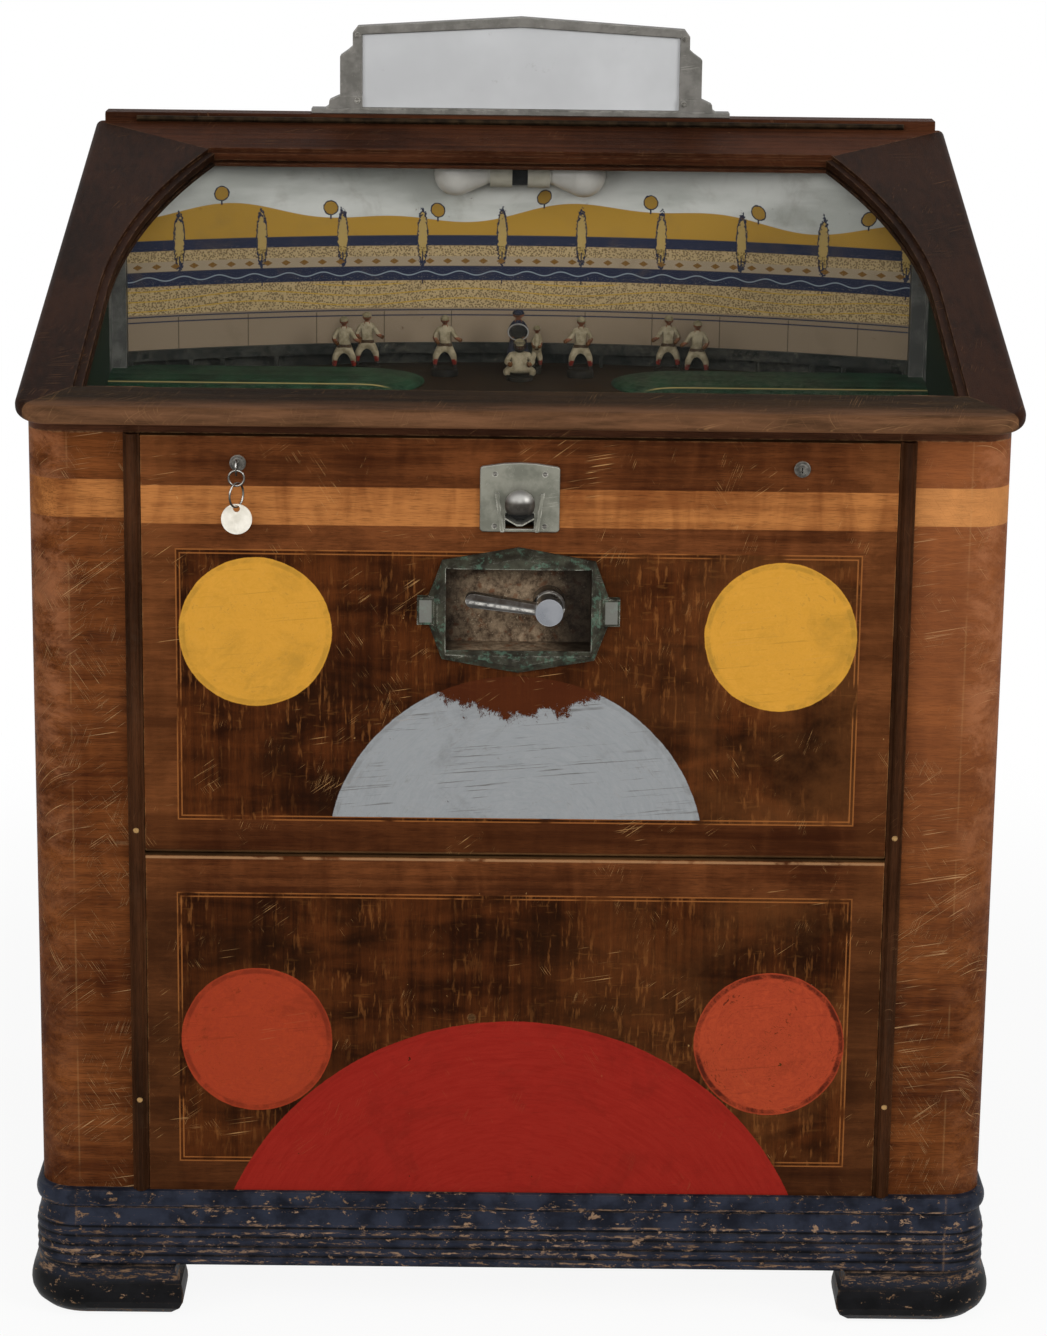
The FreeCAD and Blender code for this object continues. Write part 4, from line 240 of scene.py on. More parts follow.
# %% [markdown]
# ## Wood grain
# Old veneer shows three things at once: long soft streaks along the grain, a wavy figure across it, and fine dark
# pores. Stretched noises make them. The group expects a place whose first axis runs along the grain, so the same group
# serves rails, pillars and boards.

# %% The grain group
t, given, gives = node_group(
    "wood_grain", {"Vector": None, "Dark": paint("#3A2214"), "Light": paint("#6A4023"), "Figure": 0.5},
    {"Color": "Color", "Height": "Float"})
streaks = t.noise(given["Vector"], (3.0, 130.0, 130.0), 5.0, 0.62, 0.3)
cloud = t.noise(given["Vector"], (3.5, 10.0, 10.0), 4.0, 0.55, 0.8)
flame = t.noise(given["Vector"], (36.0, 9.0, 9.0), 3.0, 0.5, 1.0)
pores = t.step(t.noise(given["Vector"], (60.0, 1300.0, 1300.0), 2.0, 0.5), 0.34, 0.5)
lift = streaks * 0.45 + cloud * 0.55 + (flame - 0.5) * given["Figure"]
wood = t.mix(t.step(lift, 0.32, 0.68), given["Dark"], given["Light"])
t.feed(gives["Color"], t.tint(wood, 0.35 - pores * 0.35, "#140A05"))
t.feed(gives["Height"], pores * 0.6 + streaks * 0.4)


def grain(t, place, dark, light, figure):
    """Colour and height of a bare wood between two tones."""
    return t.group("wood_grain", Vector=place, Dark=paint(dark), Light=paint(light), Figure=figure)


print("nodes of the grain:", len(t.tree.nodes))

# %% [markdown]
# ## Wear
# Ninety years of hands and floors leave scratches, pale dents, rubbed edges and grey dust. Each is a mask. A noise
# that is squeezed hard in one direction turns into thin sheets, and a surface cuts each sheet in a long thin line: four
# tilts of it, kept only in a few places, are the scratches. Rubbed edges come from the difference between a rounded
# normal and the true one, and dust lies in soft patches.

# %% The wear groups
TILTS = (((0.7, 0.5, 0.2), 17.0), ((-0.6, -0.9, 0.6), 24.0), ((0.9, 0.1, -0.5), 12.0), ((0.4, 1.2, -0.9), 30.0))
SQUEEZE = 100.0

t, given, gives = node_group("scratches", {"Vector": None, "Density": 0.5}, {"Mask": "Float"})
cuts = []
for tilt, size in TILTS:
    tilted = t.stretch(given["Vector"], turn=tilt)
    line = t.step(t.noise(tilted, (size, size, size * SQUEEZE), 1.0), 0.66, 0.72)
    patch = t.noise(tilted, size * 0.8, 3.0, 0.6)
    cuts.append(line * t.step(patch + given["Density"] * 0.3, 0.70, 0.77))
dents = t.step(t.noise(given["Vector"], (120.0, 120.0, 80.0), 3.0, 0.6), 0.755, 0.78)
t.feed(gives["Mask"], t.most(*cuts, dents * 0.7))

t, given, gives = node_group("rubbed_edges", {"Vector": None, "Width": 0.003, "Amount": 0.6}, {"Mask": "Float"})
rounded = t.add("Bevel", {"Radius": given["Width"]}, samples=4)
true = t.add("NewGeometry", out=1)
facing = t.add("VectorMath", {0: rounded, 1: true}, out=1, operation="DOT_PRODUCT")
broken = t.step(t.noise(given["Vector"], 60.0, 5.0, 0.65), 0.42, 0.6)
t.feed(gives["Mask"], t.step(1.0 - facing, 0.01, 0.16) * broken * given["Amount"])

t, given, gives = node_group("dust", {"Vector": None, "Amount": 0.4}, {"Mask": "Float"})
soft = t.step(t.noise(given["Vector"], 7.0, 6.0, 0.65, 0.6), 0.38, 0.72)
fine = t.step(t.noise(given["Vector"], 160.0, 3.0), 0.25, 0.7)
t.feed(gives["Mask"], soft * fine * given["Amount"])


def rubbed(t, p, amount, width=0.003):
    return t.group("rubbed_edges", Vector=p, Width=width, Amount=amount)


print("groups:", sorted(group.name for group in bpy.data.node_groups))

# %% [markdown]
# ## One call for a finish
# Every finish ends in the same shader with its colour, roughness and a fine height. The helper makes that ending, and
# the few lines before it in each finish say only what is special about it.

# %% The ending of every finish
FINISHES = {}


def finish(name, build, *given, metallic=0.0, coat=0.0, specular=0.05, bump=0.0004):
    """A material. Its build function gives colour, roughness, height and, for a clear pane, how solid it is."""
    material = bpy.data.materials.new(name)
    material.use_nodes = True
    material.node_tree.nodes.clear()
    t = FinishTree(material.node_tree)
    colour, rough, height, *solid = build(t, *given)
    feeds = {"Base Color": colour, "Roughness": rough, "Metallic": metallic, "Coat Weight": coat,
             "Coat Roughness": 0.28, "Specular IOR Level": specular}
    if height is not None:
        feeds["Normal"] = t.add("Bump", {"Height": height, "Distance": bump, "Strength": 0.7})
    if solid:
        feeds["Alpha"] = solid[0]
    t.add("OutputMaterial", {"Surface": t.add("BsdfPrincipled", feeds)})
    FINISHES[name] = material


# %% [markdown]
# ## Plain woods
# The hood's rails run across and its stiles run back, so their grain turns at the mitres. The ledge in front is
# greyer, where arms have leaned on it, and its rounded nose has a painted highlight, paler and more red. The boards
# nobody sees are plain and dull.

# %% The plain woods
ALONG_X = (0.0, 0.0, 0.0)
ALONG_Y = (0.0, 0.0, math.radians(90.0))
ALONG_Z = (0.0, math.radians(90.0), 0.0)


def old_wood(t, dark, light, along, figure=0.25, wear=0.35, dust=0.25, worn="#A07A50", rub=0.55):
    """Colour, roughness and height of an old varnished wood with its wear."""
    p = t.spot()[0]
    colour, height = grain(t, t.stretch(p, turn=along), dark, light, figure)
    marks = t.group("scratches", Vector=p, Density=wear)
    grey = t.group("dust", Vector=p, Amount=dust)
    colour = t.tint(colour, marks * 0.8, worn)
    colour = t.tint(colour, rubbed(t, p, rub), worn)
    return t.tint(colour, grey, "#6E6455"), (marks + grey) * 0.3 + 0.5, height - marks * 0.8


def ledge_wood(t):
    """The ledge: its flat top, and a painted highlight on the nose within 30 mm of its front."""
    colour, rough, height = old_wood(t, "#1A120A", "#372615", ALONG_X, 0.05, 0.5, 0.03, "#8A6A48", 0.35)
    p, x, y, z = t.spot()
    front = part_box("hood_front_rail")[0][1]
    # Painted highlight on the rounded nose, in streaks, within 30 mm of the front.
    nose = 1.0 - t.step(y, front + 0.004, front + 0.030)
    nose = nose * t.step(t.noise(p, (7.0, 60.0, 60.0), 5.0, 0.7), 0.15, 0.75)
    return t.tint(colour, nose * 0.75, "#80593E"), rough, height


finish("hood_across", old_wood, "#2A150B", "#55301D", ALONG_X, 0.1, 0.36, 0.01, "#7E5C40", 0.4, specular=0.02)
finish("hood_back", old_wood, "#1B0E07", "#341D11", ALONG_Y, 0.1, 0.38, 0.01, "#7E5C40", 0.45, specular=0.02)
finish("ledge", ledge_wood, specular=0.02)
finish("fascia", old_wood, "#321A0E", "#583420", ALONG_X, 0.1, 0.3, 0.03)
finish("bead", old_wood, "#221208", "#452816", ALONG_Z, 0.05, 0.3, 0.04, "#6A4A30", 0.15, specular=0.02)
finish("plug", old_wood, "#8C6A45", "#B8935F", ALONG_Y, 0.0, 0.1, 0.1)
finish("board", old_wood, "#5E432E", "#8C6A48", ALONG_X, 0.0, 0.3, 0.4, bump=0.0003)
finish("field_wood", old_wood, "#1E150E", "#372818", ALONG_X, 0.0, 0.3, 0.3, bump=0.0002)
finish("bat_wood", old_wood, "#8A6236", "#C0935A", ALONG_X, 0.0, 0.3, 0.15)
print("woods:", list(FINISHES))

# %% [markdown]
# ## The veneered front
# The doors are the show side: a pale satinwood band across the top, and a dark figured field in each, framed by a
# double line of stringing. They are flat ornament, so masks made from the place on the door draw them: a band for a
# strip, and the distance past a rectangle's sides for a line round it.

# %% Masks for bands and frames
BAND_LOW, BAND_HIGH = 0.889, 0.9295
JOINT = 0.5285
UPPER_FIELD = (0.358, 0.569, 0.862)
LOWER_FIELD = (0.360, 0.182, 0.487)
STRING_GAP = 0.004
STRING_WIDTH = 0.0008


def satinwood(t, p):
    return grain(t, p, "#744220", "#A86C3A", 0.45)[0]


def framed(t, x, z, half, low, high):
    """Mask of a thin line round a rectangle, given by half its width, its foot and its head."""
    past_x = abs(x) - half
    past_z = abs(z - (low + high) / 2.0) - (high - low) / 2.0
    return 1.0 - t.step(abs(t.most(past_x, past_z)), STRING_WIDTH * 0.6, STRING_WIDTH * 1.2)


def within(t, x, z, half, low, high):
    """Mask of a filled rectangle."""
    return t.band(abs(x), -1.0, half) * t.band(z, low, high)


print("fields, as half width, foot and head:", UPPER_FIELD, LOWER_FIELD)

# %% [markdown]
# The border is plain veneer and the fields are burl, whose dark clouds and pale flecks are more noises laid over the
# grain. The band, the rubbed joint and the stringing come last, because they lie over both.

# %% The front's veneers
def border_veneer(t, p, x, z):
    """Plain red-brown veneer, stained in places and darker below the joint."""
    colour, height = grain(t, p, "#381909", "#6C3D1F", 0.25)
    colour = t.tint(colour, t.step(abs(x), 0.345, 0.37) * 0.2, "#7C4C28")
    stained = t.step(t.noise(p, (9.0, 9.0, 24.0), 7.0, 0.72, 0.5), 0.44, 0.62)
    colour = t.tint(colour, stained * 0.42, "#2E1508")
    colour = t.tint(colour, (1.0 - t.step(z, 0.455, 0.515)) * 0.5, "#1C0E06")
    return t.tint(colour, t.band(z, JOINT, 0.573, 0.004) * 0.5, "#281005"), height


def field_veneer(t, p, x, lower):
    """Dark burl with smoky clouds and fine flecks, paler to the right, where the light falls on it."""
    colour = grain(t, t.stretch(p, turn=ALONG_Z), "#220D04", "#4E270F", 0.55)[0]
    smoke = t.step(t.noise(p, (6.0, 6.0, 7.0), 5.0, 0.62, 0.6), 0.44, 0.66)
    colour = t.tint(colour, smoke * 0.8, "#190B04")
    where = t.step(t.noise(p, 11.0, 3.0), 0.36, 0.62)
    flecks = t.step(t.noise(p, (230.0, 230.0, 38.0), 3.0, 0.6), 0.55, 0.68)
    colour = t.tint(colour, flecks * where * 0.5, "#7E4E26")
    across = t.step(t.noise(p, (45.0, 45.0, 260.0), 2.0), 0.62, 0.7)
    colour = t.tint(colour, across * where * 0.15, "#8A5A2C")
    lit = t.step(x, -0.05, 0.33) * t.step(t.noise(p, 8.0, 6.0, 0.65), 0.36, 0.6)
    colour = t.tint(colour, lit * 0.30, "#7A4A26")
    return t.tint(colour, lower * 0.1, "#221206")


def front_woods(t, p, x, z, lower):
    """All the veneers of the front, with the rubbed joint and the stringing."""
    colour, height = border_veneer(t, p, x, z)
    fields = within(t, x, z, *UPPER_FIELD) + within(t, x, z, *LOWER_FIELD)
    colour = t.mix(fields, colour, field_veneer(t, p, x, lower))
    colour = t.mix(t.band(z, BAND_LOW, BAND_HIGH), colour, satinwood(t, p))
    rub = t.band(z, JOINT - 0.0035, JOINT - 0.0008) * t.step(t.noise(p, 30.0, 5.0), 0.36, 0.5)
    colour = t.tint(colour, rub * 0.6, "#A9805A")
    kept = t.step(t.noise(p, 24.0, 3.0), 0.3, 0.5) * 0.6
    for half, low, high in (UPPER_FIELD, LOWER_FIELD):
        for gap in (0.0, STRING_GAP):
            colour = t.tint(colour, framed(t, x, z, half - gap, low + gap, high - gap) * kept, "#9A5F30")
    return colour, height


# %% [markdown]
# ## The painted discs
# Six flat discs are painted over the veneer: red at the foot, grey and yellow above. Distance from a centre draws a
# disc, and noise on the distance and angle gives the strokes of a brush that went round. The paint is rubbed at the
# rims, scored across and chipped, and the grey disc's head is worn away in a ragged curve.

# %% The painted discs
DISCS = (  # kind, centre across and up, radius, deep, bright and rubbed paint, wear, scores
    ("big red", 0.0, 0.015, 0.330, "#801C15", "#8C241B", "#5A1710", 0.2, 0.12),
    ("grey", 0.0, 0.529, 0.200, "#828587", "#8D8F90", "#4E4A46", 0.3, 0.75),
    ("yellow", 0.2755, 0.774, 0.080, "#BA862E", "#C58E36", "#6E5A24", 0.4, 0.25),
    ("yellow", -0.2755, 0.774, 0.080, "#BA862E", "#C58E36", "#6E5A24", 0.35, 0.2),
    ("red", 0.276, 0.322, 0.081, "#8A3420", "#A44226", "#3A160E", 0.9, 0.3),
    ("red", -0.276, 0.322, 0.081, "#8A321E", "#98391F", "#4A1B10", 0.5, 0.25),
)
SCORE_TILT = (0.0, 0.09, 0.0)
WORN_FROM = 0.633
WORN_CURVE = 3.4
RAGGED = 0.104


def brushed(t, x, z, u0, v0):
    """Distance from a disc's centre, and the strokes round it."""
    reach = t.distance(x, z, u0, v0)
    angle = t.math("ARCTAN2", z - v0, x - u0)
    swirl = t.add("CombineXYZ", {0: reach * 210.0, 1: angle * 6.0, 2: u0 * 9.0})
    return reach, t.noise(swirl, 1.0, 6.0, 0.72, 1.1)


def worn_head(t, p, x, z):
    """Mask of all that lies above a ragged curve through the grey disc's head."""
    ragged = t.noise(p, (62.0, 62.0, 40.0), 9.0, 0.88, 0.2)
    return t.step(z - (x * x * WORN_CURVE + WORN_FROM + ragged * RAGGED), -0.0008, 0.0008)


def painted_discs(t, p, x, z, lower, colour):
    """The colour with the discs laid over it, and the mask of all the paint."""
    worn = t.noise(p, 34.0, 6.0, 0.72, 0.5)
    wobble = (worn - 0.5) * 0.003
    mottle = t.step(t.noise(p, 12.0, 7.0, 0.7, 0.6), 0.5, 0.7)
    scores = t.step(t.noise(t.stretch(p, turn=SCORE_TILT), (9.0, 9.0, 560.0), 3.0, 0.7), 0.60, 0.635)
    scores = scores * t.step(t.noise(p, 13.0, 3.0), 0.42, 0.56)
    whole = 1.0 - t.step(t.noise(p, 75.0, 4.0, 0.6), 0.725, 0.75)
    reach_of = {"big red": lower * t.step(z, 0.148, 0.1485), "grey": t.step(z, 0.573, 0.5735),
                "yellow": 1.0 - lower, "red": lower}
    masks = []
    for kind, u0, v0, radius, deep, bright, under, wear, scored in DISCS:
        reach, strokes = brushed(t, x, z, u0, v0)
        edge = reach + wobble
        inside = (1.0 - t.step(edge, radius - 0.0006, radius + 0.0006)) * reach_of[kind]
        coat = t.tint(t.tones(strokes, 0.25, 0.75, deep, bright), mottle * 0.3, under)
        thin = t.step(strokes, 0.53, 0.65) * t.step(worn, 0.44, 0.6)
        rim = t.band(edge, radius - 0.006, radius - 0.001, 0.0012) * t.step(worn, 0.36, 0.6)
        coat = t.tint(coat, t.most(t.most(thin, rim) * wear, scores * scored), under)
        shown = inside * whole
        if kind == "grey":
            bare = worn_head(t, p, x, z)
            colour = t.tint(colour, bare * inside * 0.8, "#46200F")
            shown = shown * (1.0 - bare)
        colour = t.mix(shown, colour, coat)
        masks.append(shown)
    return colour, t.most(*masks)


# %% [markdown]
# Only the outer face is veneered and painted. The edges and the inside of the door are plain wood, which shows when the
# door drops open, so depth behind the outer face tells the two apart.

# %% The front's finish
VENEER_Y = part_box("front_door")[0][1]


def front_veneer(t):
    p, x, y, z = t.spot()
    lower = 1.0 - t.step(z, JOINT - 0.001, JOINT + 0.001)
    colour, height = front_woods(t, p, x, z, lower)
    colour, painted = painted_discs(t, p, x, z, lower, colour)
    outside = 1.0 - t.step(y, VENEER_Y + 0.001, VENEER_Y + 0.002)
    colour = t.mix(outside, grain(t, p, "#3E2A1A", "#6E4E30", 0.1)[0], colour)
    painted = painted * outside
    marks = t.group("scratches", Vector=p, Density=0.30)
    colour = t.tint(colour, marks * (0.7 - painted * 0.55), "#B58A58")
    colour = t.tint(colour, rubbed(t, p, 0.4), "#9A7248")
    return colour, marks * 0.3 + 0.48, height * 0.5 + painted * 0.8


finish("front_veneer", front_veneer, specular=0.02, bump=0.0003)
print("nodes of the front:", len(FINISHES["front_veneer"].node_tree.nodes))

# %% [markdown]
# ## Pillars and sides
# The satinwood band runs on round the rounded pillars and along the sides, a few millimetres higher than on the door. A
# pale seam shows where the pillar's two veneers meet. Inside the hood the side boards are painted dark green. The
# right pillar, its band and the rounded corners of both pillars carry a painted highlight.

# %% The pillar and side veneers
SIDE_BAND = (BAND_LOW + 0.0045, BAND_HIGH + 0.0045)


def pillar_veneer(t):
    colour, rough, height = old_wood(t, "#3E1C0B", "#72401E", ALONG_X, 0.2, 0.6, 0.03, "#B08A60", 0.35)
    p, x, y, z = t.spot()
    # Painted highlight: the right pillar is paler and more red, fading out below the middle.
    right_sheen = t.step(x, 0.38, 0.44) * t.step(z, 0.3, 0.8)
    colour = t.tint(colour, right_sheen * 0.35, "#A0603A")
    # Painted highlight in blotches on both pillars' rounded corners, stronger higher up.
    highlight_blotch = t.step(t.noise(p, (16.0, 16.0, 26.0), 7.0, 0.72, 0.4), 0.42, 0.62)
    rounded = t.step(abs(x), 0.455, 0.49) * (t.step(z, 0.4, 0.7) * 0.65 + 0.35)
    colour = t.tint(colour, rounded * highlight_blotch * 0.5, "#A26A48")
    # The band gets the same painted highlight on the right.
    pale = t.tint(satinwood(t, p), right_sheen * 0.5, "#CE8E54")
    colour = t.mix(t.band(z, *SIDE_BAND), colour, pale)
    seam = t.band(abs(x), 0.4695, 0.4712, 0.0005) * t.step(t.noise(p, 18.0, 4.0), 0.42, 0.55)
    return t.tint(colour, seam * 0.12, "#B58E5E"), rough, height


def side_veneer(t):
    colour, rough, height = old_wood(t, "#3E1C0B", "#6C3D1F", ALONG_Y, 0.2, 0.5, 0.08, "#A8845A", 0.35)
    p, x, y, z = t.spot()
    band = t.band(z, *SIDE_BAND) * t.step(abs(x), 0.5, 0.505)
    colour = t.mix(band, colour, satinwood(t, t.stretch(p, turn=ALONG_Y)))
    inside = 1.0 - t.step(abs(x), 0.5, 0.503)
    return t.tint(colour, inside * t.step(z, 0.9, 0.905), "#1D2A1E"), rough, height


finish("pillar_veneer", pillar_veneer, specular=0.02)
finish("side_veneer", side_veneer, specular=0.02)
print("band on the sides, low and high:", SIDE_BAND)

# %% [markdown]
# ## Plinth and feet
# The reeded plinth and the bracket feet are painted nearly black. Shoes and brooms have rubbed the paint off the ridges
# down to tan wood, so the wear follows the edges, and large chips show on the feet. The ridges also get a painted
# highlight, and the plinth's grooves a painted shade.

# %% The worn black paint
REED_LOW = 0.062
REED_HIGH = 0.106
REED_PITCH = 0.011
BEAD_LOW = 0.128


def plinth_shape(t, z):
    """Masks from the height alone: the plinth's ridges, worn and with a painted highlight, and its grooves, in painted
    shade.
    """
    off = abs(t.math("FRACT", (z - REED_LOW) / REED_PITCH) - 0.5)
    reeds = t.band(z, REED_LOW - 0.01, REED_HIGH)
    ridge = reeds * (1.0 - t.step(off, 0.05, 0.30))
    groove_shade = reeds * t.step(off, 0.30, 0.47)
    for edge in (REED_HIGH, BEAD_LOW):
        groove_shade = t.most(groove_shade, t.band(z, edge - 0.0008, edge + 0.0016, 0.0008))
        ridge = t.most(ridge, t.band(z, edge + 0.002, edge + 0.0045, 0.001))
    return ridge, groove_shade


def foot_shape(t, z):
    """The ridges of a bracket foot are its lowest edge and its shoulder, and it has no grooves, so no painted shade in
    them.
    """
    return t.most(1.0 - t.step(z, 0.003, 0.012), t.band(z, 0.046, 0.058, 0.004)), 0.0


def black_paint(t, base, high_tone, shape, chips, edge_wear):
    p, x, y, z = t.spot()
    ridge, groove_shade = shape(t, z)
    shade = t.noise(p, 30.0, 5.0, 0.6)
    colour = t.tones(shade, 0.35, 0.65, base, high_tone)
    # Painted highlight on the ridges and painted shade in the grooves.
    colour = t.tint(colour, ridge * 0.35, "#2B303E")
    colour = t.tint(colour, groove_shade * 0.9, "#060607")
    rub = t.noise(p, (52.0, 52.0, 240.0), 6.0, 0.8, 0.4)
    worn = t.step(rub + ridge * 0.06, 0.575, 0.63) * ridge
    edges = rubbed(t, p, edge_wear)
    loss = t.step(t.noise(p, (70.0, 70.0, 130.0), 6.0, 0.75, 0.4), chips, chips + 0.02)
    bare = t.most(edges, loss, worn)
    colour = t.mix(bare * 0.9, colour, grain(t, p, "#6A5038", "#A1836A", 0.1)[0])
    return colour, bare * 0.3 + 0.45, shade * 0.4 + (1.0 - bare)


finish("plinth_paint", black_paint, "#13151D", "#272B37", plinth_shape, 0.595, 0.7)
finish("foot_paint", black_paint, "#0C0C0D", "#151517", foot_shape, 0.605, 0.9)
print("reeds:", round((REED_HIGH - REED_LOW) / REED_PITCH))

# %% [markdown]
# ## Metals
# Cast iron and zinc go grey-green and rusty in the hollows and bright where fingers rub. Chrome keeps its shine with
# fine scratches. One builder gives colour and roughness, and the finish says whether it is a bare metal. Some metals
# also get a painted reflection: lighter on faces turned up, and painted shade on faces turned down.

# %% The metals
def old_metal(t, dark, light, bright, rub=0.6, rough=0.38, scale=70.0, stain="#5A3E28", stained=0.2, painted_reflection=0.0):
    """Worn metal. A painted reflection lightens what faces up, and painted shade darkens what faces down."""
    p = t.spot()[0]
    cloud = t.noise(p, scale, 5.0, 0.6)
    rust = t.step(t.noise(p, scale * 0.6, 6.0, 0.7, 0.4), 0.58, 0.72)
    colour = t.tint(t.tones(cloud, 0.36, 0.66, dark, light), rust * stained, stain)
    edges = rubbed(t, p, rub, 0.0018)
    marks = t.group("scratches", Vector=t.stretch(p, (3.0, 3.0, 3.0)), Density=0.4)
    colour = t.tint(colour, t.most(edges, marks * 0.5), bright)
    if painted_reflection:
        # Painted reflection and painted shade, by how far each face turns up or down.
        up = t.axes(t.add("NewGeometry", out=1))[2]
        colour = t.tint(colour, t.step(up, 0.1, 0.6) * painted_reflection, "#E8E6E0")
        colour = t.tint(colour, (1.0 - t.step(up, -0.5, 0.02)) * painted_reflection, "#141312")
    return colour, cloud * 0.22 + rough - edges * 0.15, cloud + rust * 0.4


# The last value in some tones is the strength of the painted reflection.
METALS = (  # finish, its tones and wear, metallic, bump
    ("coin_metal", ("#66665C", "#7E7D72", "#C2BFB4", 0.9, 0.38, 45.0, "#544E42", 0.25, 0.25), 0.6, 0.0001),
    ("thumb_metal", ("#36332F", "#504C46", "#9A968E", 0.7, 0.3, 60.0, "#2C241C", 0.4, 0.5), 0.7, 0.0001),
    ("sign_metal", ("#605E59", "#75726D", "#B8B4AC", 0.6, 0.4, 50.0, "#4A453F", 0.18), 0.6, 0.0003),
    ("bright_metal", ("#3E3C38", "#66635D", "#B2AEA6", 0.6, 0.24, 140.0, "#3E362C", 0.3, 0.8), 0.95, 0.0001),
    ("steel", ("#4A4A48", "#70706C", "#A8A69E", 0.5, 0.34, 60.0, "#5A3B24", 0.35), 0.85, 0.0002),
    ("dark_bronze", ("#1A130C", "#33271A", "#5E4C32", 0.4, 0.45, 70.0, "#140E08", 0.35), 0.4, 0.0002),
    ("old_brass", ("#5C4824", "#8E7038", "#C9A75E", 0.6, 0.32, 70.0, "#2E2414", 0.35), 0.9, 0.0002),
    ("black_enamel", ("#161616", "#242424", "#77736A", 0.5, 0.26, 50.0, "#3E2E20", 0.2), 0.0, 0.0002),
    ("tin", ("#5F5F5B", "#85847E", "#BEBBB1", 0.6, 0.35, 30.0, "#5E4026", 0.35), 0.8, 0.0002),
)
for name, look, metallic, bump in METALS:
    finish(name, old_metal, *look, metallic=metallic, bump=bump)
print("metals:", [metal[0] for metal in METALS])

# %% [markdown]
# ## The lever and its casting
# The casting is green outside and rusty brown inside its recess, and depth behind the rim tells the two apart.
# Painted shade darkens the sides and the top of the recess.

# %% The lever casting's paint
RECESS = (0.0775, 0.754, 0.848)
RECESS_MIDDLE = -0.012
LABEL_ACROSS = (0.0905, 0.1035)
LABEL_UP = (0.789, 0.813)
RECESS_FRONT = (-0.3995, -0.397)
LABEL_FRONT = (-0.4015, -0.401)


def lever_casting(t):
    colour, rough, height = old_metal(t, "#221F18", "#3C3C31", "#A3A296", 1.0, 0.5, 60.0, "#33271A", 0.7)
    p, x, y, z = t.spot()
    rust = t.tones(t.noise(p, 70.0, 8.0, 0.8), 0.34, 0.68, "#3C2C20", "#A08A70")
    rust = t.tint(rust, t.step(t.noise(p, 110.0, 4.0), 0.56, 0.66) * 0.6, "#6A3C20")
    rust = t.tint(rust, t.step(t.noise(p, 420.0, 2.0), 0.66, 0.72) * 0.6, "#C9B89A")
    recess = t.step(y, *RECESS_FRONT) * within(t, x, z, *RECESS)
    colour = t.mix(recess, colour, rust)
    # Painted shade on the recess's sides and top, where the rim shades it.
    side = t.step(abs(x - RECESS_MIDDLE), 0.026, 0.072)
    roof_shade = t.step(z, 0.822, 0.848)
    colour = t.tint(colour, t.most(side, roof_shade) * recess * 0.88, "#120E0A")
    green = t.step(t.noise(p, 90.0, 6.0, 0.75), 0.52, 0.62) * (1.0 - recess)
    colour = t.tint(colour, green * 0.55, "#4F6A5A")
    label = t.band(abs(x), *LABEL_ACROSS) * t.band(z, *LABEL_UP) * (1.0 - t.step(y, *LABEL_FRONT))
    return t.tint(colour, label * 0.7, "#74746E"), rough, height


finish("cast_green", lever_casting, specular=0.1)
print("nodes of the casting:", len(FINISHES["cast_green"].node_tree.nodes))

# %% [markdown]
# The lever's chrome gets a painted dark, brownish reflection along the arm's upper half, a painted highlight in a line
# below it, painted shade along its lower edge, and a painted bright reflection on the face of its hub, so its masks
# follow the arm from the pivot to the tip.

# %% The lever's chrome
LEVER_PIVOT = Vector((0.032, 0.803))
LEVER_TIP = Vector((-0.048, 0.814))
HUB_FRONT = (-0.4105, -0.4095)


def lever_chrome(t):
    colour, rough, height = old_metal(t, "#4C4B49", "#6E6C69", "#C8C6C0", 0.9, 0.18, 50.0, "#463C32", 0.3, 0.9)
    p, x, y, z = t.spot()
    way = (LEVER_TIP - LEVER_PIVOT).normalized()
    up = (x - LEVER_PIVOT.x) * way.y + (z - LEVER_PIVOT.y) * -way.x
    arm = t.step(t.distance(x, z, *LEVER_PIVOT), 0.0145, 0.0165)
    patchy = t.step(t.noise(p, 160.0, 5.0, 0.7), 0.32, 0.6)
    # Painted dark reflection, brownish and patchy, on the arm's upper half.
    dark_reflection = t.step(up, 0.0, 0.0016) * arm * (patchy * 0.3 + 0.45)
    colour = t.tint(colour, dark_reflection, "#2E231A")
    # Painted highlight in a line below the middle of the arm.
    bright = t.band(up, -0.0032, -0.0004, 0.0006) * arm * patchy
    colour = t.tint(colour, bright * 0.8, "#DAD6CE")
    # Painted shade along the arm's lower edge.
    under = (1.0 - t.step(up, -0.0048, -0.0036)) * arm
    colour = t.tint(colour, under * 0.6, "#2A2622")
    # Painted bright reflection on the face of the hub.
    face = (1.0 - arm) * (1.0 - t.step(y, *HUB_FRONT))
    return t.tint(colour, face * 0.5, "#A2A6AE"), rough, height


finish("chrome", lever_chrome, metallic=1.0, bump=0.0001)
print("finishes so far:", len(FINISHES))

# %% [markdown]
# ## Small painted and moulded things
# Green enamel on the aprons with a thin gold line, the turning disc, the tag, the porcelain sockets. The gold line
# follows the apron's rounded outline a little way in, so it comes from the distance to a rounded rectangle.

# %% The paints
APRON_TIP = 0.114


def flat_paint(t, deep, bright, chipped="#3A2A1C", loss=0.66, rough=0.42, scale=40.0):
    """Brushed paint, chipped through and rubbed at the edges, with dust."""
    p = t.spot()[0]
    shade = t.noise(p, scale, 5.0, 0.6)
    lost = t.step(t.noise(p, scale * 2.0, 6.0, 0.7), loss, loss + 0.05)
    edges = rubbed(t, p, 0.5, 0.0015)
    colour = t.tint(t.tones(shade, 0.35, 0.65, deep, bright), t.most(lost, edges), chipped)
    colour = t.tint(colour, t.group("dust", Vector=p, Amount=0.3), "#7A7262")
    return colour, lost * 0.3 + rough, shade


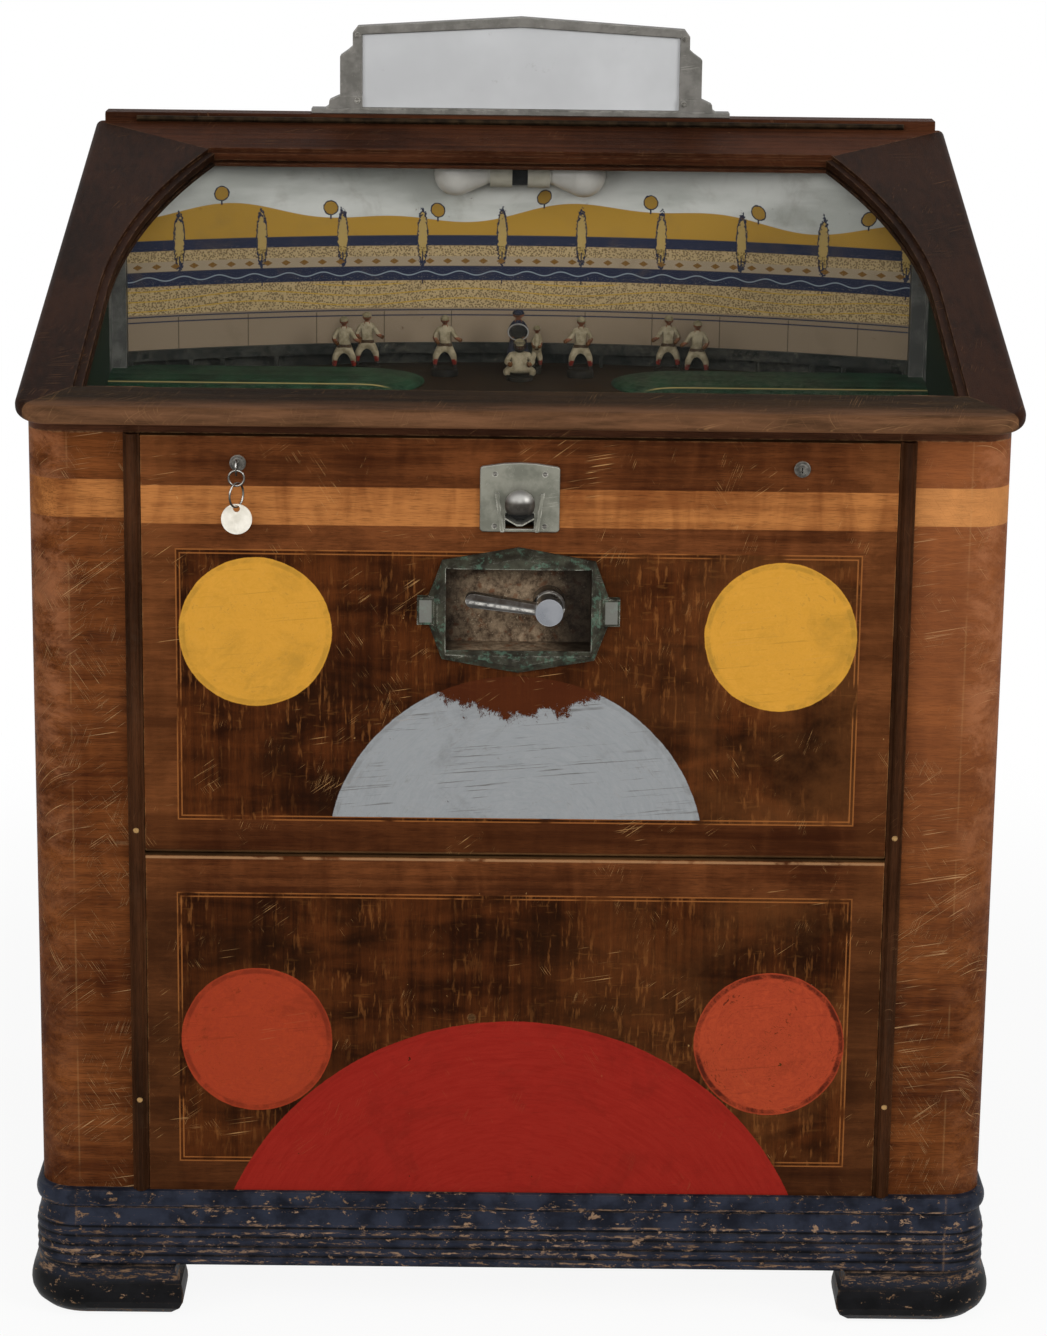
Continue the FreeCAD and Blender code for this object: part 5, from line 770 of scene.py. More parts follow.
def apron_paint(t):
    colour, rough, height = flat_paint(t, "#16301F", "#234630", "#1A140E", 0.7, 0.35)
    low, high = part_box("field_aprons")
    radius = (high[1] - low[1]) / 2.0
    p, x, y, z = t.spot()
    along = t.math("MINIMUM", abs(x) - (APRON_TIP + radius), 0.0)
    off = y - (high[1] + low[1]) / 2.0
    line = t.band(t.distance(along, off), radius - 0.0175, radius - 0.0145, 0.0004)
    line = line * (1.0 - t.step(off, 0.0, 0.004)) * t.step(abs(x), APRON_TIP + 0.035, APRON_TIP + 0.06)
    return t.tint(colour, line * 0.9, "#C2AE70"), rough, height


finish("apron_paint", apron_paint, coat=0.02, bump=0.0002)
finish("green_paint", flat_paint, "#16301F", "#234630", "#1A140E", coat=0.02, bump=0.0002)
finish("disc_paint", flat_paint, "#3A2A1C", "#52402C", "#1E160E", bump=0.0002)
finish("rim_paint", flat_paint, "#1E201E", "#343632", "#5E5A50", 0.64, bump=0.0002)
finish("socket", flat_paint, "#B8B3A0", "#CFCAB8", "#8A8472", 0.74, 0.35, coat=0.05, bump=0.0001)
finish("tag_board", flat_paint, "#D4CEC0", "#E6E0D4", "#A89C86", 0.72, 0.7, 90.0, bump=0.0001)
print("paints end at finish", len(FINISHES))

# %% [markdown]
# ## The backdrop
# A curved board painted as a landscape in bands of grey-white, ochre, navy, tan and cream closes the field at the back.
# Its motifs are plain ones: round trees on rolling hills, slim trees, a wavy stream, a stippled meadow with furrows, a
# row of lozenges and a panelled wall. Sines, bands and distances draw them all.

# %% The hills and the trees
NAVY = "#2C3044"
INK = "#2B2F42"
RIDGE = 1.118
ROUND_PITCH = 0.131
SLIM_PITCH = 0.098
SLIM_MIDDLE, SLIM_TALL, SLIM_WIDE = 1.088, 0.036, 0.0068
CROWN_UP = 0.012


def wave(t, x, quick, tall):
    """A sine along the board."""
    return t.math("SINE", x * quick) * tall


def repeated(t, x, start, pitch):
    """The place inside each of many equal lengths, measured from its middle."""
    return t.math("FRACT", (x + start) / pitch) * pitch - pitch / 2.0


def hills(t, x, z, leaf, colour):
    """Rolling hills below the sky, and round trees with a dark outline along their ridge."""
    above = z - (wave(t, x, 13.0, 0.010) + wave(t, x + 0.2, 31.0, 0.005) + RIDGE)
    cell = repeated(t, x, 2.0, ROUND_PITCH)
    crown = t.distance(cell, above, 0.0, CROWN_UP) + leaf * 0.0016
    trunk = t.band(cell, -0.001, 0.001, 0.0003) * t.band(above, -0.002, 0.006)
    colour = t.tint(colour, 1.0 - t.step(above, -0.0005, 0.0005), "#B48C38")
    colour = t.tint(colour, trunk, INK)
    colour = t.tint(colour, 1.0 - t.step(crown, 0.0085, 0.0095), "#A68238")
    return t.tint(colour, t.band(crown, 0.0078, 0.0092, 0.0003), INK)


def slim_trees(t, x, z, leaf, colour):
    """Tall slim trees that rise from the meadow, closer together than the round ones."""
    row = repeated(t, x, 2.03, SLIM_PITCH)
    wide = row / SLIM_WIDE
    tall = (z - SLIM_MIDDLE) / SLIM_TALL
    slim = wide * wide + tall * tall - 1.0 + leaf
    colour = t.tint(colour, 1.0 - t.step(slim, -0.02, 0.06), NAVY)
    colour = t.tint(colour, 1.0 - t.step(slim, -0.42, -0.34), "#B59A5C")
    return t.tint(colour, t.band(row, -0.0008, 0.0008, 0.0003) * t.band(z, 1.03, 1.07), NAVY)


# %% [markdown]
# Below the hills the land is a stack of flat bands, each laid over the one before. Stipple, furrows, the stream's wavy
# line and the lozenges then go over their own bands, and a wall with upright joints stands at the foot.

# %% The land below and the whole backdrop
LAND = ((1.0, 1.090, "#A58D60"), (1.077, 1.090, NAVY), (1.0, 1.077, "#BBA377"), (1.052, 1.064, "#A5947A"),
        (1.034, 1.052, NAVY), (0.94, 1.000, "#8F7E68"))


def stippled(t, p, x, z, colour):
    """Dots and furrows on the meadows, and pale grains on the navy bands."""
    dots = t.add("TexVoronoi", {"Vector": t.stretch(p, (420.0, 420.0, 420.0)), "Scale": 1.0})
    meadow = t.band(z, 1.000, 1.034) + t.band(z, 1.064, 1.077)
    colour = t.tint(colour, meadow * (1.0 - t.step(dots, 0.38, 0.55)) * 0.65, "#46351E")
    grains = t.add("MapRange", {"Value": dots, "From Min": 0.22, "From Max": 0.12}) * 0.5
    dark = t.band(z, 1.0345, 1.0395) + t.band(z, 1.0775, 1.0815)
    colour = t.tint(colour, dark * grains, "#B8AE98")
    furrow = t.math("PINGPONG", z + wave(t, x, 24.0, 0.004), 0.006)
    furrow = t.band(furrow, -0.001, 0.0008, 0.0003) * t.band(z, 1.003, 1.031)
    return t.tint(colour, furrow * 0.8, "#C09A34")


def stream_and_wall(t, x, z, colour):
    """The stream's line, the lozenges, and the wall's joints and its two dark lines."""
    line = z - (wave(t, x, 150.0, 0.0025) + 1.043)
    colour = t.tint(colour, t.band(line, -0.0007, 0.0007, 0.0003), "#8F9AA0")
    lozenge = abs(z - 1.058) + t.math("PINGPONG", x, 0.011) * 0.6
    colour = t.tint(colour, 1.0 - t.step(lozenge, 0.0032, 0.0038), "#7C5A2A")
    joint = t.band(t.math("PINGPONG", x, 0.0415), -0.001, 0.0006, 0.0003) * t.band(z, 0.94, 0.996)
    colour = t.tint(colour, joint, "#5E5342")
    for low in (0.9965, 0.9900):
        colour = t.tint(colour, t.band(z, low, low + 0.0016), NAVY)
    return colour


def backdrop_paint(t):
    p, x, y, z = t.spot()
    leaf = (t.noise(p, 330.0, 3.0, 0.6) - 0.5) * 1.6
    colour = t.tones(t.noise(p, (6.0, 6.0, 22.0), 4.0), 0.4, 0.66, "#BFC1B9", "#DCDDD6")
    colour = hills(t, x, z, leaf, colour)
    for low, high, tone in LAND:
        colour = t.tint(colour, t.band(z, low, high), tone)
    colour = slim_trees(t, x, z, leaf, colour)
    colour = stippled(t, p, x, z, colour)
    colour = stream_and_wall(t, x, z, colour)
    spots = t.step(t.noise(p, 60.0, 6.0, 0.75), 0.66, 0.7)
    colour = t.tint(colour, spots * 0.6, "#5C3A24")
    age = t.noise(p, 22.0, 6.0, 0.7, 0.4)
    return t.tint(colour, t.step(age, 0.5, 0.75) * 0.25, "#6E5E48"), age * 0.15 + 0.5, age


finish("backdrop_paint", backdrop_paint, bump=0.0001)
print("nodes of the backdrop:", len(FINISHES["backdrop_paint"].node_tree.nodes))

# %% [markdown]
# ## Glass
# The hood's glass is thin and only shows by its shine, so it is mostly see-through, more solid where it is seen at a
# slant. The sign's glass is frosted and silver-grey, and the lamps are frosted and unlit.

# %% The glasses
def clear_pane(t, tone, least, most):
    """A thin clear pane, more visible at a slant and where it is smeared."""
    p = t.spot()[0]
    slant = t.add("LayerWeight", {"Blend": 0.3}, out=1)
    smears = t.step(t.noise(p, 5.0, 6.0, 0.7, 0.6), 0.5, 0.8)
    return paint(tone), t.noise(p, 9.0, 4.0) * 0.12, None, slant * most + least + smears * 0.012


def frosted(t, deep, bright, scale):
    """Frosted glass with cloudy tones and a few stains."""
    p = t.spot()[0]
    cloud = t.noise(p, scale, 4.0, 0.6)
    stains = t.step(t.noise(p, scale * 5.0, 6.0, 0.75), 0.62, 0.74)
    colour = t.tint(t.tones(cloud, 0.3, 0.7, deep, bright), stains * 0.35, "#8C8A84")
    return colour, cloud * 0.2 + 0.45, t.noise(p, 900.0, 2.0)


finish("hood_glass", clear_pane, "#3C403C", 0.012, 0.05)
finish("sign_glass", frosted, "#C4C5C6", "#D2D3D4", 6.0, coat=0.15, bump=0.00005)
finish("bulb_glass", frosted, "#D6D3CA", "#E4E1D8", 20.0, coat=0.8, bump=0.00005)
print("finishes in all:", len(FINISHES))

# %% [markdown]
# ## Finishes go to their pieces
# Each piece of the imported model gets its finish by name. A piece's mesh is loose triangles, so its points are welded
# before a small bevel rounds its sharp edges, which catch the light as real edges do.

# %% Give every piece its finish
WORN = {
    "front_veneer": "front_door lower_front_panel",
    "pillar_veneer": "left_pillar right_pillar",
    "side_veneer": "left_side_panel right_side_panel",
    "ledge": "hood_front_rail",
    "hood_across": "hood_rear_rail top_board",
    "hood_back": "hood_left_stile hood_right_stile",
    "fascia": "front_header_rail",
    "bead": "trim_strips",
    "plug": "trim_plugs",
    "board": "back_panel back_door bottom_board",
    "field_wood": "playfield_board",
    "bat_wood": "bat",
    "plinth_paint": "plinth_moulding",
    "foot_paint": "bracket_feet",
    "cast_green": "lever_housing",
    "coin_metal": "coin_plate coin_cradle",
    "thumb_metal": "thumb_piece",
    "sign_metal": "sign_frame",
    "chrome": "lever_arm",
    "bright_metal": "coin_plate_screws sign_screws lock_housings left_lock_plug right_lock_plug door_key key_rings",
    "steel": "lever_crank bat_rack rack_guides runner_bridge coin_chute back_door_pins door_pivots",
    "dark_bronze": "hood_hinge hood_hinge_leaf",
    "old_brass": "motor_pinion",
    "black_enamel": "drive_motor power_transformer lamp_bracket",
    "tin": "cash_box backdrop_posts",
    "apron_paint": "field_aprons",
    "rim_paint": "field_rim",
    "disc_paint": "runner_disc",
    "backdrop_paint": "backdrop_panel",
    "socket": "lamp_sockets",
    "tag_board": "key_tag",
    "hood_glass": "hood_glass",
    "sign_glass": "sign_glass",
    "bulb_glass": "light_bulbs",
    "green_paint": "player_figures base_runners",
}
SOFT_EDGES = {  # millimetres
    "front_door": 0.8, "lower_front_panel": 0.8, "top_board": 1.0, "trim_strips": 0.5, "sign_frame": 1.0,
    "lever_housing": 1.2, "coin_plate": 0.6, "lever_arm": 1.5, "bracket_feet": 1.5, "hood_rear_rail": 0.8,
    "cash_box": 0.5, "drive_motor": 1.0, "power_transformer": 1.0, "thumb_piece": 0.6, "bat": 1.0,
}

for name, pieces in WORN.items():
    for piece in pieces.split():
        node = NODES[piece]
        for slot in node.material_slots:
            slot.material = FINISHES[name]
        if not node.material_slots:
            node.data.materials.append(FINISHES[name])
for piece, size in SOFT_EDGES.items():
    weld = NODES[piece].modifiers.new("weld", "WELD")
    weld.merge_threshold = 0.00001
    round_off = NODES[piece].modifiers.new("round", "BEVEL")
    round_off.width = size / 1000.0
    round_off.segments = 2
    round_off.limit_method = "ANGLE"
    round_off.angle_limit = math.radians(40.0)
print("pieces without a finish:", sorted(set(NODES) - set(" ".join(WORN.values()).split())))

# %% [markdown]
# ## The little players
# Each player is a cast and painted figure about as long as a finger. All are painted from the same few pots, so each
# tone of paint becomes one finish.

# %% Colours of the figures
FIGURE_TONES = {
    "shirt": ("#82765C", "#A69A7E"), "skin": ("#5E3A28", "#84543C"), "cap": ("#6E654C", "#948869"),
    "shoe": ("#1E1C1A", "#34302C"), "sock": ("#6E2018", "#8E2E22"), "glove": ("#4E3018", "#6E4626"),
    "base": ("#14120F", "#24201A"), "suit": ("#181B28", "#262A38"), "belt": ("#3A2A1C", "#4A3828"),
    "shell": ("#101010", "#1C1C1C"), "rim": ("#8C8A84", "#AAA8A2"),
}
TONE_ORDER = list(FIGURE_TONES)
for tone, (deep, bright) in FIGURE_TONES.items():
    finish("figure_" + tone, flat_paint, deep, bright, "#4A3B28", 0.64, 0.5, 120.0, bump=0.0001)
print("paints of the figures:", len(FIGURE_TONES))

# %% [markdown]
# An operator acts on all that is selected, so each new shape starts with nothing else selected, and the faces to be
# worked on are chosen in code by their place. The small class below goes into edit mode with them and comes back.

# %% Helpers for modelling by hand
def only(obj):
    """Deselect all, then select and make active this one object."""
    bpy.ops.object.select_all(action="DESELECT")
    obj.select_set(True)
    bpy.context.view_layer.objects.active = obj


def begun(name, primitive, **settings):
    """Add a primitive with nothing else selected, and move its place and turn into its mesh."""
    bpy.ops.object.select_all(action="DESELECT")
    primitive(**settings)
    obj = bpy.context.object
    obj.name = name
    bpy.ops.object.transform_apply(location=True, rotation=True, scale=True)
    return obj


def in_edit(mode):
    """Enter edit mode with the select mode set first, so that a choice made in code is kept."""
    bpy.context.tool_settings.mesh_select_mode = (mode == "VERT", mode == "EDGE", mode == "FACE")
    bpy.ops.object.mode_set(mode="EDIT")


class Editing:
    """Edit mode on the active object, with all faces or with those whose centre passes a test."""

    def __init__(self, obj, chosen=None):
        self.mesh = obj.data
        self.chosen = chosen

    def __enter__(self):
        if self.chosen:
            for kind in (self.mesh.vertices, self.mesh.edges):
                for item in kind:
                    item.select = False
            for face in self.mesh.polygons:
                face.select = bool(self.chosen(face.center))
        in_edit("FACE")
        if not self.chosen:
            bpy.ops.mesh.select_all(action="SELECT")

    def __exit__(self, *_):
        bpy.ops.object.mode_set(mode="OBJECT")


# %% [markdown]
# A body is built as a sculptor builds on wire. A skeleton of points is drawn out by extruding, each point with the
# thickness of the limb there, and a skin is grown round it and smoothed.

# %% Grow a body round a skeleton
def drawn_out(obj, start, point):
    """Extrude a new point from the one nearest to a start."""
    nearest = min(obj.data.vertices, key=lambda v: (v.co - start).length)
    for edge in obj.data.edges:
        edge.select = False
    for v in obj.data.vertices:
        v.select = v.index == nearest.index
    step = point - nearest.co
    in_edit("VERT")
    bpy.ops.mesh.extrude_region_move(TRANSFORM_OT_translate={"value": step})
    bpy.ops.object.mode_set(mode="OBJECT")


def grown(name, paths, start):
    """A body from its first point and the paths out of it, all as (point, radius)."""
    obj = begun(name, bpy.ops.mesh.primitive_plane_add, size=0.001, location=start[0])
    in_edit("VERT")
    bpy.ops.mesh.select_all(action="SELECT")
    bpy.ops.mesh.merge(type="CENTER")
    bpy.ops.object.mode_set(mode="OBJECT")
    radii = [start[1]]
    for path in paths:
        place = Vector(path[0])
        for point, radius in path[1:]:
            drawn_out(obj, place, Vector(point))
            place = Vector(point)
            radii.append(radius)
    skin = obj.modifiers.new("skin", "SKIN")
    skin.use_smooth_shade = True
    for item, radius in zip(obj.data.skin_vertices[0].data, radii):
        item.radius = (radius, radius)
    obj.data.skin_vertices[0].data[0].use_root = True
    smooth = obj.modifiers.new("smooth", "SUBSURF")
    smooth.levels = smooth.render_levels = 1
    only(obj)
    bpy.ops.object.modifier_apply(modifier="skin")
    bpy.ops.object.modifier_apply(modifier="smooth")
    return obj


# %% [markdown]
# A standing player has its knees apart, leans forward and holds one arm out. Stance and arm are the only things that
# change, so one function makes every standing body.

# %% Model the standing bodies, one unit tall
HIP = (0.0, 0.0, 0.47)
CHEST = (0.0, -0.028, 0.69)
NECK = (0.0, -0.048, 0.80)


def standing_body(name, spread, arm_side):
    """Legs apart by the spread, and the arm on one side held out."""
    paths = [[HIP, ((0.0, -0.012, 0.57), 0.088), (CHEST, 0.105), (NECK, 0.042), ((0.0, -0.053, 0.84), 0.036)]]
    for side in (-1, 1):
        w = side * spread
        paths.append([HIP, ((w * 0.085, -0.02, 0.42), 0.068), ((w * 0.145, -0.085, 0.31), 0.057),
                      ((w * 0.155, -0.035, 0.20), 0.040), ((w * 0.158, -0.022, 0.15), 0.034),
                      ((w * 0.170, -0.070, 0.135), 0.030)])
        hand = (w * 0.275, -0.120, 0.565) if side == arm_side else (w * 0.085, -0.150, 0.535)
        wrist = (w * 0.235, -0.100, 0.580) if side == arm_side else (w * 0.120, -0.120, 0.550)
        paths.append([CHEST, ((w * 0.100, -0.035, 0.745), 0.048), ((w * 0.170, -0.070, 0.62), 0.041),
                      (wrist, 0.032), (hand, 0.046)])
    return grown(name, paths, (HIP, 0.085))


BODIES = {
    "arm_left": standing_body("arm_left", 1.0, -1), "arm_right": standing_body("arm_right", 1.0, 1),
    "striker": standing_body("striker_body", 0.5, 0), "umpire": standing_body("umpire_body", 0.6, 0),
}
print("bodies:", {name: len(body.data.polygons) for name, body in BODIES.items()})

# %% [markdown]
# The head is a ball drawn in at the jaw, with a small plain nose and two shallow hollows for the eyes. The cap is half
# a ball with a brim drawn out of its front.

# %% Model the head and the cap
HEAD = Vector((0.0, -0.058, 0.885))
head = begun("head", bpy.ops.mesh.primitive_uv_sphere_add, segments=20, ring_count=14, radius=0.068, location=HEAD)
with Editing(head, lambda c: c.z < HEAD.z - 0.035):
    bpy.ops.transform.resize(value=(0.78, 0.86, 1.0), center_override=HEAD)
with Editing(head, lambda c: c.y < HEAD.y - 0.06 and abs(c.x) < 0.012 and abs(c.z - HEAD.z + 0.006) < 0.012):
    bpy.ops.mesh.extrude_region_move(TRANSFORM_OT_translate={"value": (0.0, -0.011, -0.004)})
    bpy.ops.transform.resize(value=(0.6, 1.0, 0.7))
for eye in (-0.026, 0.026):
    with Editing(head, lambda c: c.y < HEAD.y - 0.045 and abs(c.x - eye) < 0.010 and abs(c.z - HEAD.z - 0.012) < 0.010):
        bpy.ops.transform.translate(value=(0.0, 0.006, 0.0))

cap = begun("cap", bpy.ops.mesh.primitive_uv_sphere_add, segments=20, ring_count=14, radius=0.075,
            location=HEAD + Vector((0.0, 0.004, 0.012)))
with Editing(cap):
    bpy.ops.mesh.bisect(plane_co=HEAD + Vector((0.0, 0.0, 0.020)), plane_no=(0.0, -0.10, 1.0), clear_inner=True,
                        use_fill=True)
with Editing(cap, lambda c: c.y < HEAD.y - 0.050 and c.z < HEAD.z + 0.036):
    bpy.ops.mesh.extrude_region_move(TRANSFORM_OT_translate={"value": (0.0, -0.042, -0.006)})
    bpy.ops.transform.resize(value=(1.0, 1.0, 0.35))
print("head and cap:", len(head.data.polygons), len(cap.data.polygons), "faces")

# %% [markdown]
# The base is a low dome, a drum whose top is inset and raised three times. The one in the dark suit holds a round
# shield, black with a bright rim: a short drum that gets its rim and its hollow by insetting and pushing back its
# front.

# %% Model the base and the round shield
SHIELD_Z = 0.64
foot = begun("foot", bpy.ops.mesh.primitive_cylinder_add, vertices=32, radius=0.215, depth=0.10,
             location=(0.0, 0.0, 0.045))
with Editing(foot, lambda c: c.z > 0.09):
    for width, rise in ((0.02, 0.018), (0.03, 0.012), (0.05, 0.006)):
        bpy.ops.mesh.inset(thickness=width)
        bpy.ops.transform.translate(value=(0.0, 0.0, rise))

shield = begun("shield", bpy.ops.mesh.primitive_cylinder_add, vertices=36, radius=0.128, depth=0.05,
               location=(0.0, -0.145, SHIELD_Z), rotation=(math.radians(90.0), 0.0, 0.0))
with Editing(shield, lambda c: c.y < -0.165):
    bpy.ops.mesh.inset(thickness=0.014)
    for width, push in ((0.004, 0.022), (0.05, -0.012)):
        bpy.ops.mesh.inset(thickness=width)
        bpy.ops.transform.translate(value=(0.0, push, 0.0))
print("base and shield:", len(foot.data.polygons), len(shield.data.polygons), "faces")

# %% [markdown]
# The paint is laid on by place: shoes and socks at the bottom, a belt round the middle, gloves at the hands. Each face
# takes the paint that belongs at its centre.

# %% Paint the figures part by part
def tone_of(c):
    """Which paint belongs at a place on the standing body."""
    if c.z < 0.18:
        return "shoe"
    if c.z < 0.26:
        return "sock"
    if 0.48 < c.z < 0.61 and (c.y < -0.128 or (abs(c.x) > 0.24 and c.y < -0.06)):
        return "glove"
    if 0.50 < c.z < 0.625 and c.y < -0.078 and abs(c.x) > 0.08:
        return "skin"
    if 0.485 < c.z < 0.51 and abs(c.x) < 0.1:
        return "belt"
    if c.z > 0.80 and abs(c.x) < 0.05:
        return "skin"
    return "shirt"


def painted(part, chosen):
    """Give a part every figure finish, and each face the one chosen for its centre."""
    for tone in TONE_ORDER:
        part.data.materials.append(FINISHES["figure_" + tone])
    for face in part.data.polygons:
        face.material_index = TONE_ORDER.index(chosen(face.center))


for body in BODIES.values():
    painted(body, tone_of)
painted(head, lambda c: "skin")
painted(cap, lambda c: "cap")
painted(foot, lambda c: "base")
painted(shield, lambda c: "rim" if math.hypot(c.x, c.z - SHIELD_Z) > 0.112 else "shell")
print("painted parts:", len(BODIES) + 4)

# %% [markdown]
# What repeats is modelled once and copied. A copy gets its own mesh and its place in that mesh, and the parts of a
# figure are joined into one.

# %% Helpers for copying and joining
def copy_of(source, matrix, name):
    """A copy with its own mesh, put in place in that mesh."""
    twin = source.copy()
    twin.data = source.data.copy()
    twin.name = name
    twin.data.transform(matrix)
    bpy.context.scene.collection.objects.link(twin)
    return twin


def joined(parts, name):
    """Join copies into one piece with smooth shading and outward faces."""
    only(parts[0])
    for part in parts:
        part.select_set(True)
    bpy.ops.object.join()
    piece = bpy.context.object
    piece.name = name
    with Editing(piece):
        bpy.ops.mesh.normals_make_consistent(inside=False)
    bpy.ops.object.shade_smooth_by_angle(angle=math.radians(50.0))
    return piece


# %% [markdown]
# The catcher crouches in front with knees wide, and wears a cage mask. The same bones bend: hips low, knees out, arms
# forward. The cage is the front of a ball whose edges are left as wires.

# %% Model the catcher, one unit tall
SEAT = (0.0, 0.0, 0.32)
CORE = (0.0, -0.02, 0.60)
HOODED = Vector((0.0, -0.05, 0.85))

paths = [[SEAT, ((0.0, -0.01, 0.46), 0.21), (CORE, 0.19), ((0.0, -0.035, 0.73), 0.09)]]
for side in (-1, 1):
    paths.append([SEAT, ((side * 0.20, -0.08, 0.27), 0.12), ((side * 0.35, -0.19, 0.25), 0.10),
                  ((side * 0.30, -0.165, 0.16), 0.085), ((side * 0.29, -0.20, 0.125), 0.07)])
    paths.append([CORE, ((side * 0.22, -0.03, 0.61), 0.09), ((side * 0.335, -0.14, 0.45), 0.075),
                  ((side * 0.17, -0.25, 0.40), 0.085)])
catcher = grown("catcher", paths, (SEAT, 0.20))
painted(catcher, lambda c: "shoe" if c.z < 0.15 else "glove" if c.y < -0.235 and c.z > 0.3 else "shirt")

mask = begun("mask", bpy.ops.mesh.primitive_uv_sphere_add, segments=16, ring_count=10, radius=0.158, location=HOODED)
with Editing(mask):
    bpy.ops.mesh.bisect(plane_co=HOODED + Vector((0.0, -0.04, 0.0)), plane_no=(0.0, 1.0, 0.0), clear_outer=True)
wires = mask.modifiers.new("wires", "WIREFRAME")
wires.thickness = 0.022
only(mask)
bpy.ops.object.modifier_apply(modifier="wires")
painted(mask, lambda c: "shell")

bigger = Matrix.Translation(HOODED) @ Matrix.Scale(2.05, 4) @ Matrix.Translation(-HEAD)
broad_base = Matrix.Diagonal((1.5, 1.5, 0.74, 1.0))
crouching = joined([catcher, mask, copy_of(head, bigger, "catcher_head"), copy_of(cap, bigger, "catcher_cap"),
                    copy_of(foot, broad_base, "catcher_foot")], "crouching")
print("catcher:", len(crouching.data.polygons), "faces")

# %% [markdown]
# The team stands in an arc before the backdrop, on the field, which rises to the back. All are joined into one piece,
# which takes the place of the plain solids.

# %% Place the team
BACKDROP_Y = 0.399
FIELD_SLOPE = math.radians(3.0)
FIELD_BACK = (0.390, 0.928)
HEIGHT = 0.077
CATCHER_HEIGHT = 0.050
CATCHER_PLACE = (0.002, BACKDROP_Y - 0.086)
TEAM = (  # name, place across, distance before the backdrop's middle, size, body, width of base
    ("left_field", -0.213, 0.077, 1.0, "arm_right", 1.0), ("third_base", -0.186, 0.049, 1.0, "arm_right", 1.0),
    ("shortstop", -0.090, 0.063, 1.0, "arm_right", 1.0), ("second_base", 0.077, 0.063, 1.0, "arm_left", 1.0),
    ("first_base", 0.185, 0.049, 1.0, "arm_left", 1.0), ("right_field", 0.219, 0.077, 1.0, "arm_left", 1.0),
    ("striker", 0.023, 0.047, 0.8, "striker", 0.48), ("umpire", 0.000, 0.045, 1.06, "umpire", 0.58),
)


def on_field(x, y):
    """A place on the field's surface."""
    back_y, back_height = FIELD_BACK
    return Matrix.Translation((x, y, back_height - (back_y - y) * math.tan(FIELD_SLOPE)))


def whole_player(kind, base, matrix, name):
    """One standing player: body, head, cap and a base as wide as its stance needs."""
    wide = matrix @ Matrix.Diagonal((base, base, 1.0, 1.0))
    parts = [copy_of(BODIES[kind], matrix, name), copy_of(head, matrix, name + "_head"),
             copy_of(cap, matrix, name + "_cap"), copy_of(foot, wide, name + "_foot")]
    if kind == "umpire":
        for part in parts[:3]:
            for face in part.data.polygons:
                if TONE_ORDER[face.material_index] in ("shirt", "cap", "sock"):
                    face.material_index = TONE_ORDER.index("suit")
        parts.append(copy_of(shield, matrix, name + "_shield"))
    return parts


team = []
for name, x, before, scale, kind, base in TEAM:
    broad = Matrix.Diagonal((1.25 if kind == "umpire" else 1.0, 1.0, 1.0, 1.0))
    team += whole_player(kind, base, on_field(x, BACKDROP_Y - before) @ Matrix.Scale(HEIGHT * scale, 4) @ broad, name)
catcher_spot = on_field(*CATCHER_PLACE) @ Matrix.Scale(CATCHER_HEIGHT, 4)
team.append(copy_of(crouching, catcher_spot, "catcher_in_place"))
players = joined(team, "painted_players")
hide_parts("player_figures")
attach(players, "cabinet")
print("team:", len(players.data.polygons), "faces")

# %% [markdown]
# Four small runners stand on the turning disc under the ledge. They are the same figure at under half the size, and
# they ride on the disc.

# %% Place the runners
RING = 0.078
RUNNER_HEIGHT = 0.033
on_disc = on_field(0.0, 0.0) @ Matrix.Rotation(FIELD_SLOPE, 4, "X")
runners = []
for index in range(4):
    a = math.radians(45.0 + 90.0 * index)
    spot = on_disc @ Matrix.Translation((RING * math.cos(a), RING * math.sin(a), 0.0))
    runners += whole_player("arm_right", 1.0, spot @ Matrix.Scale(RUNNER_HEIGHT, 4), "runner_%d" % index)
racing = joined(runners, "painted_runners")
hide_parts("base_runners")
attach(racing, "runner_disc")
for source in (crouching, head, cap, foot, shield, *BODIES.values()):
    bpy.data.objects.remove(source)
print("runners:", len(racing.data.polygons), "faces")

# %% [markdown]
# ## Floor and background
# The object stands on a plain pale floor before white. What the camera and the shiny surfaces see is white, while the
# object itself is lit only by a plain world and soft lamps. The floor keeps the object's shadow.

# %% Build the floor and the background
WHITE = (1.0, 1.0, 1.0, 1.0)


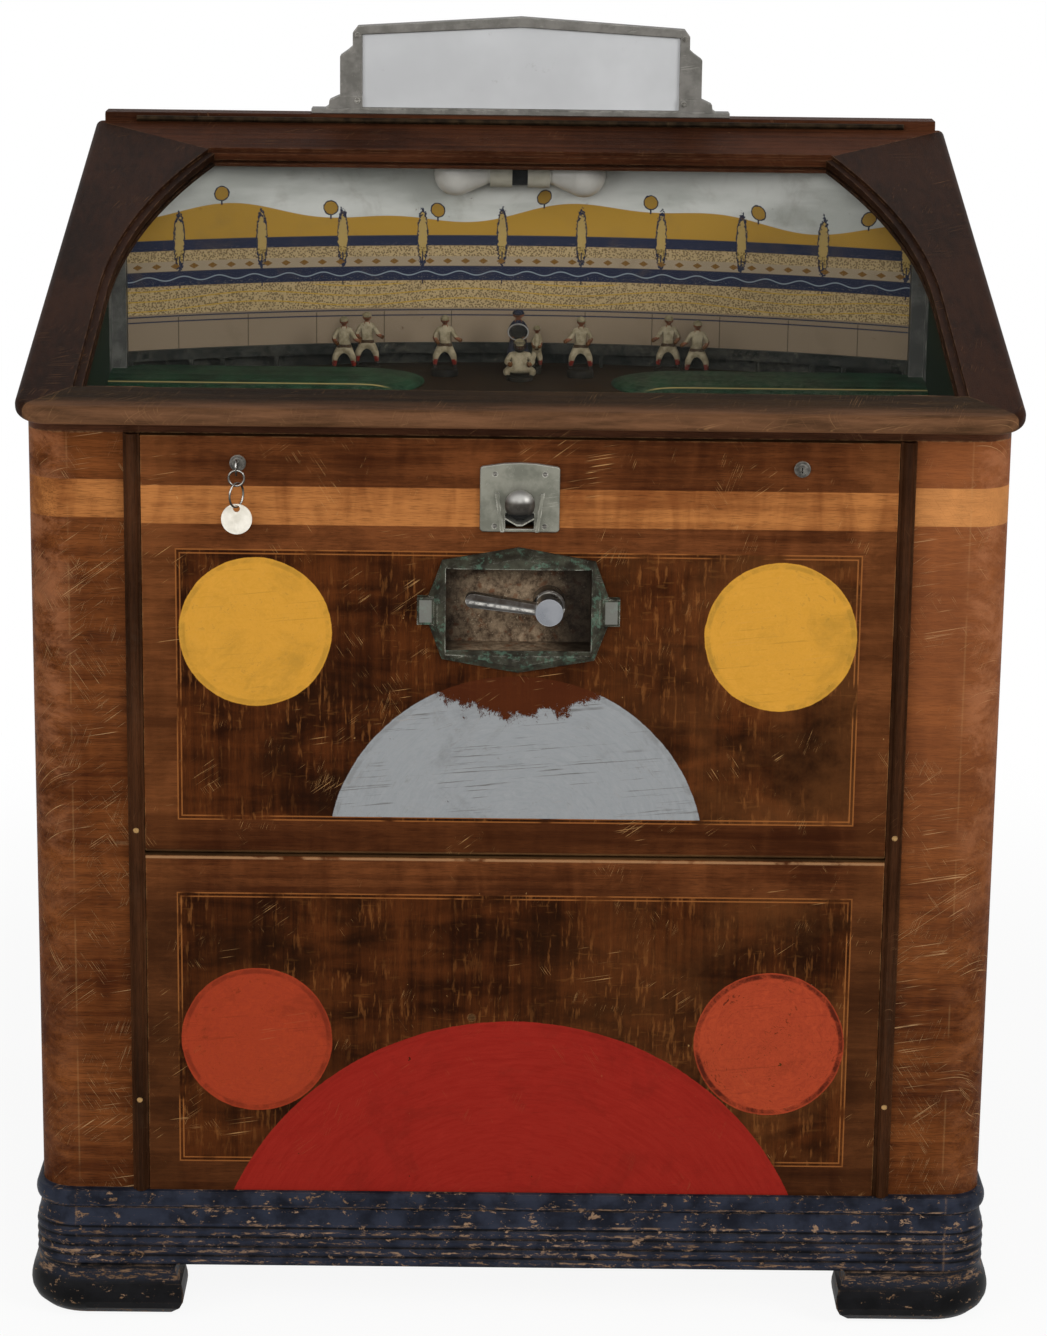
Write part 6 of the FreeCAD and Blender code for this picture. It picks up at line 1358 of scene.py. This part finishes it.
def seen_directly(t):
    """1 for rays from the camera, from shiny surfaces and through glass."""
    rays = t.tree.nodes.new("ShaderNodeLightPath").outputs
    return t.most(*(Value(t, rays[name]) for name in ("Is Camera Ray", "Is Glossy Ray", "Is Transmission Ray")))


def cleared(holder):
    """The empty node tree of a material or a world."""
    holder.use_nodes = True
    holder.node_tree.nodes.clear()
    return FinishTree(holder.node_tree)


floor = begun("studio_floor", bpy.ops.mesh.primitive_circle_add, vertices=64, radius=14.0, fill_type="NGON")
ground = bpy.data.materials.new("studio_floor")
t = cleared(ground)
matt = t.add("BsdfDiffuse", {"Color": paint("#FAFAF8")})
glow = t.add("Emission", {"Color": WHITE, "Strength": 1.0})
reach = t.add("VectorMath", {0: t.spot()[0]}, out=1, operation="LENGTH")
share = seen_directly(t) * (t.step(reach, 0.9, 2.2) * 0.09 + 0.91)
t.add("OutputMaterial", {"Surface": t.add("MixShader", {0: share, 1: matt, 2: glow})})
floor.data.materials.append(ground)

world = bpy.data.worlds.new("studio")
bpy.context.scene.world = world
t = cleared(world)
plain = t.add("Background", {"Color": WHITE, "Strength": 0.38})
white = t.add("Background", {"Color": WHITE, "Strength": 1.0})
t.add("OutputWorld", {"Surface": t.add("MixShader", {0: seen_directly(t), 1: plain, 2: white})})
print("floor and world:", floor.name, world.name)

# %% [markdown]
# ## Light
# A large soft key lamp stands to the right, a weaker fill to the left, and a small one in front reaches under the
# hood's glass. Each is a square lamp turned to a spot on the object.

# %% Hang the lamps
def soft_lamp(name, place, target, size, power):
    """A square lamp that points at a spot."""
    data = bpy.data.lights.new(name, "AREA")
    data.size = size
    data.energy = power
    lamp = bpy.data.objects.new(name, data)
    bpy.context.scene.collection.objects.link(lamp)
    way = Vector(target) - Vector(place)
    lamp.matrix_world = Matrix.Translation(place) @ way.to_track_quat("-Z", "Y").to_matrix().to_4x4()


soft_lamp("key", (3.3, -2.9, 2.7), (0.0, -0.2, 0.7), 1.8, 88.0)
soft_lamp("fill", (-2.8, -3.2, 2.0), (0.0, -0.2, 0.6), 2.4, 46.0)
soft_lamp("front", (0.0, -3.7, 2.15), (0.0, 0.3, 1.1), 1.2, 34.0)
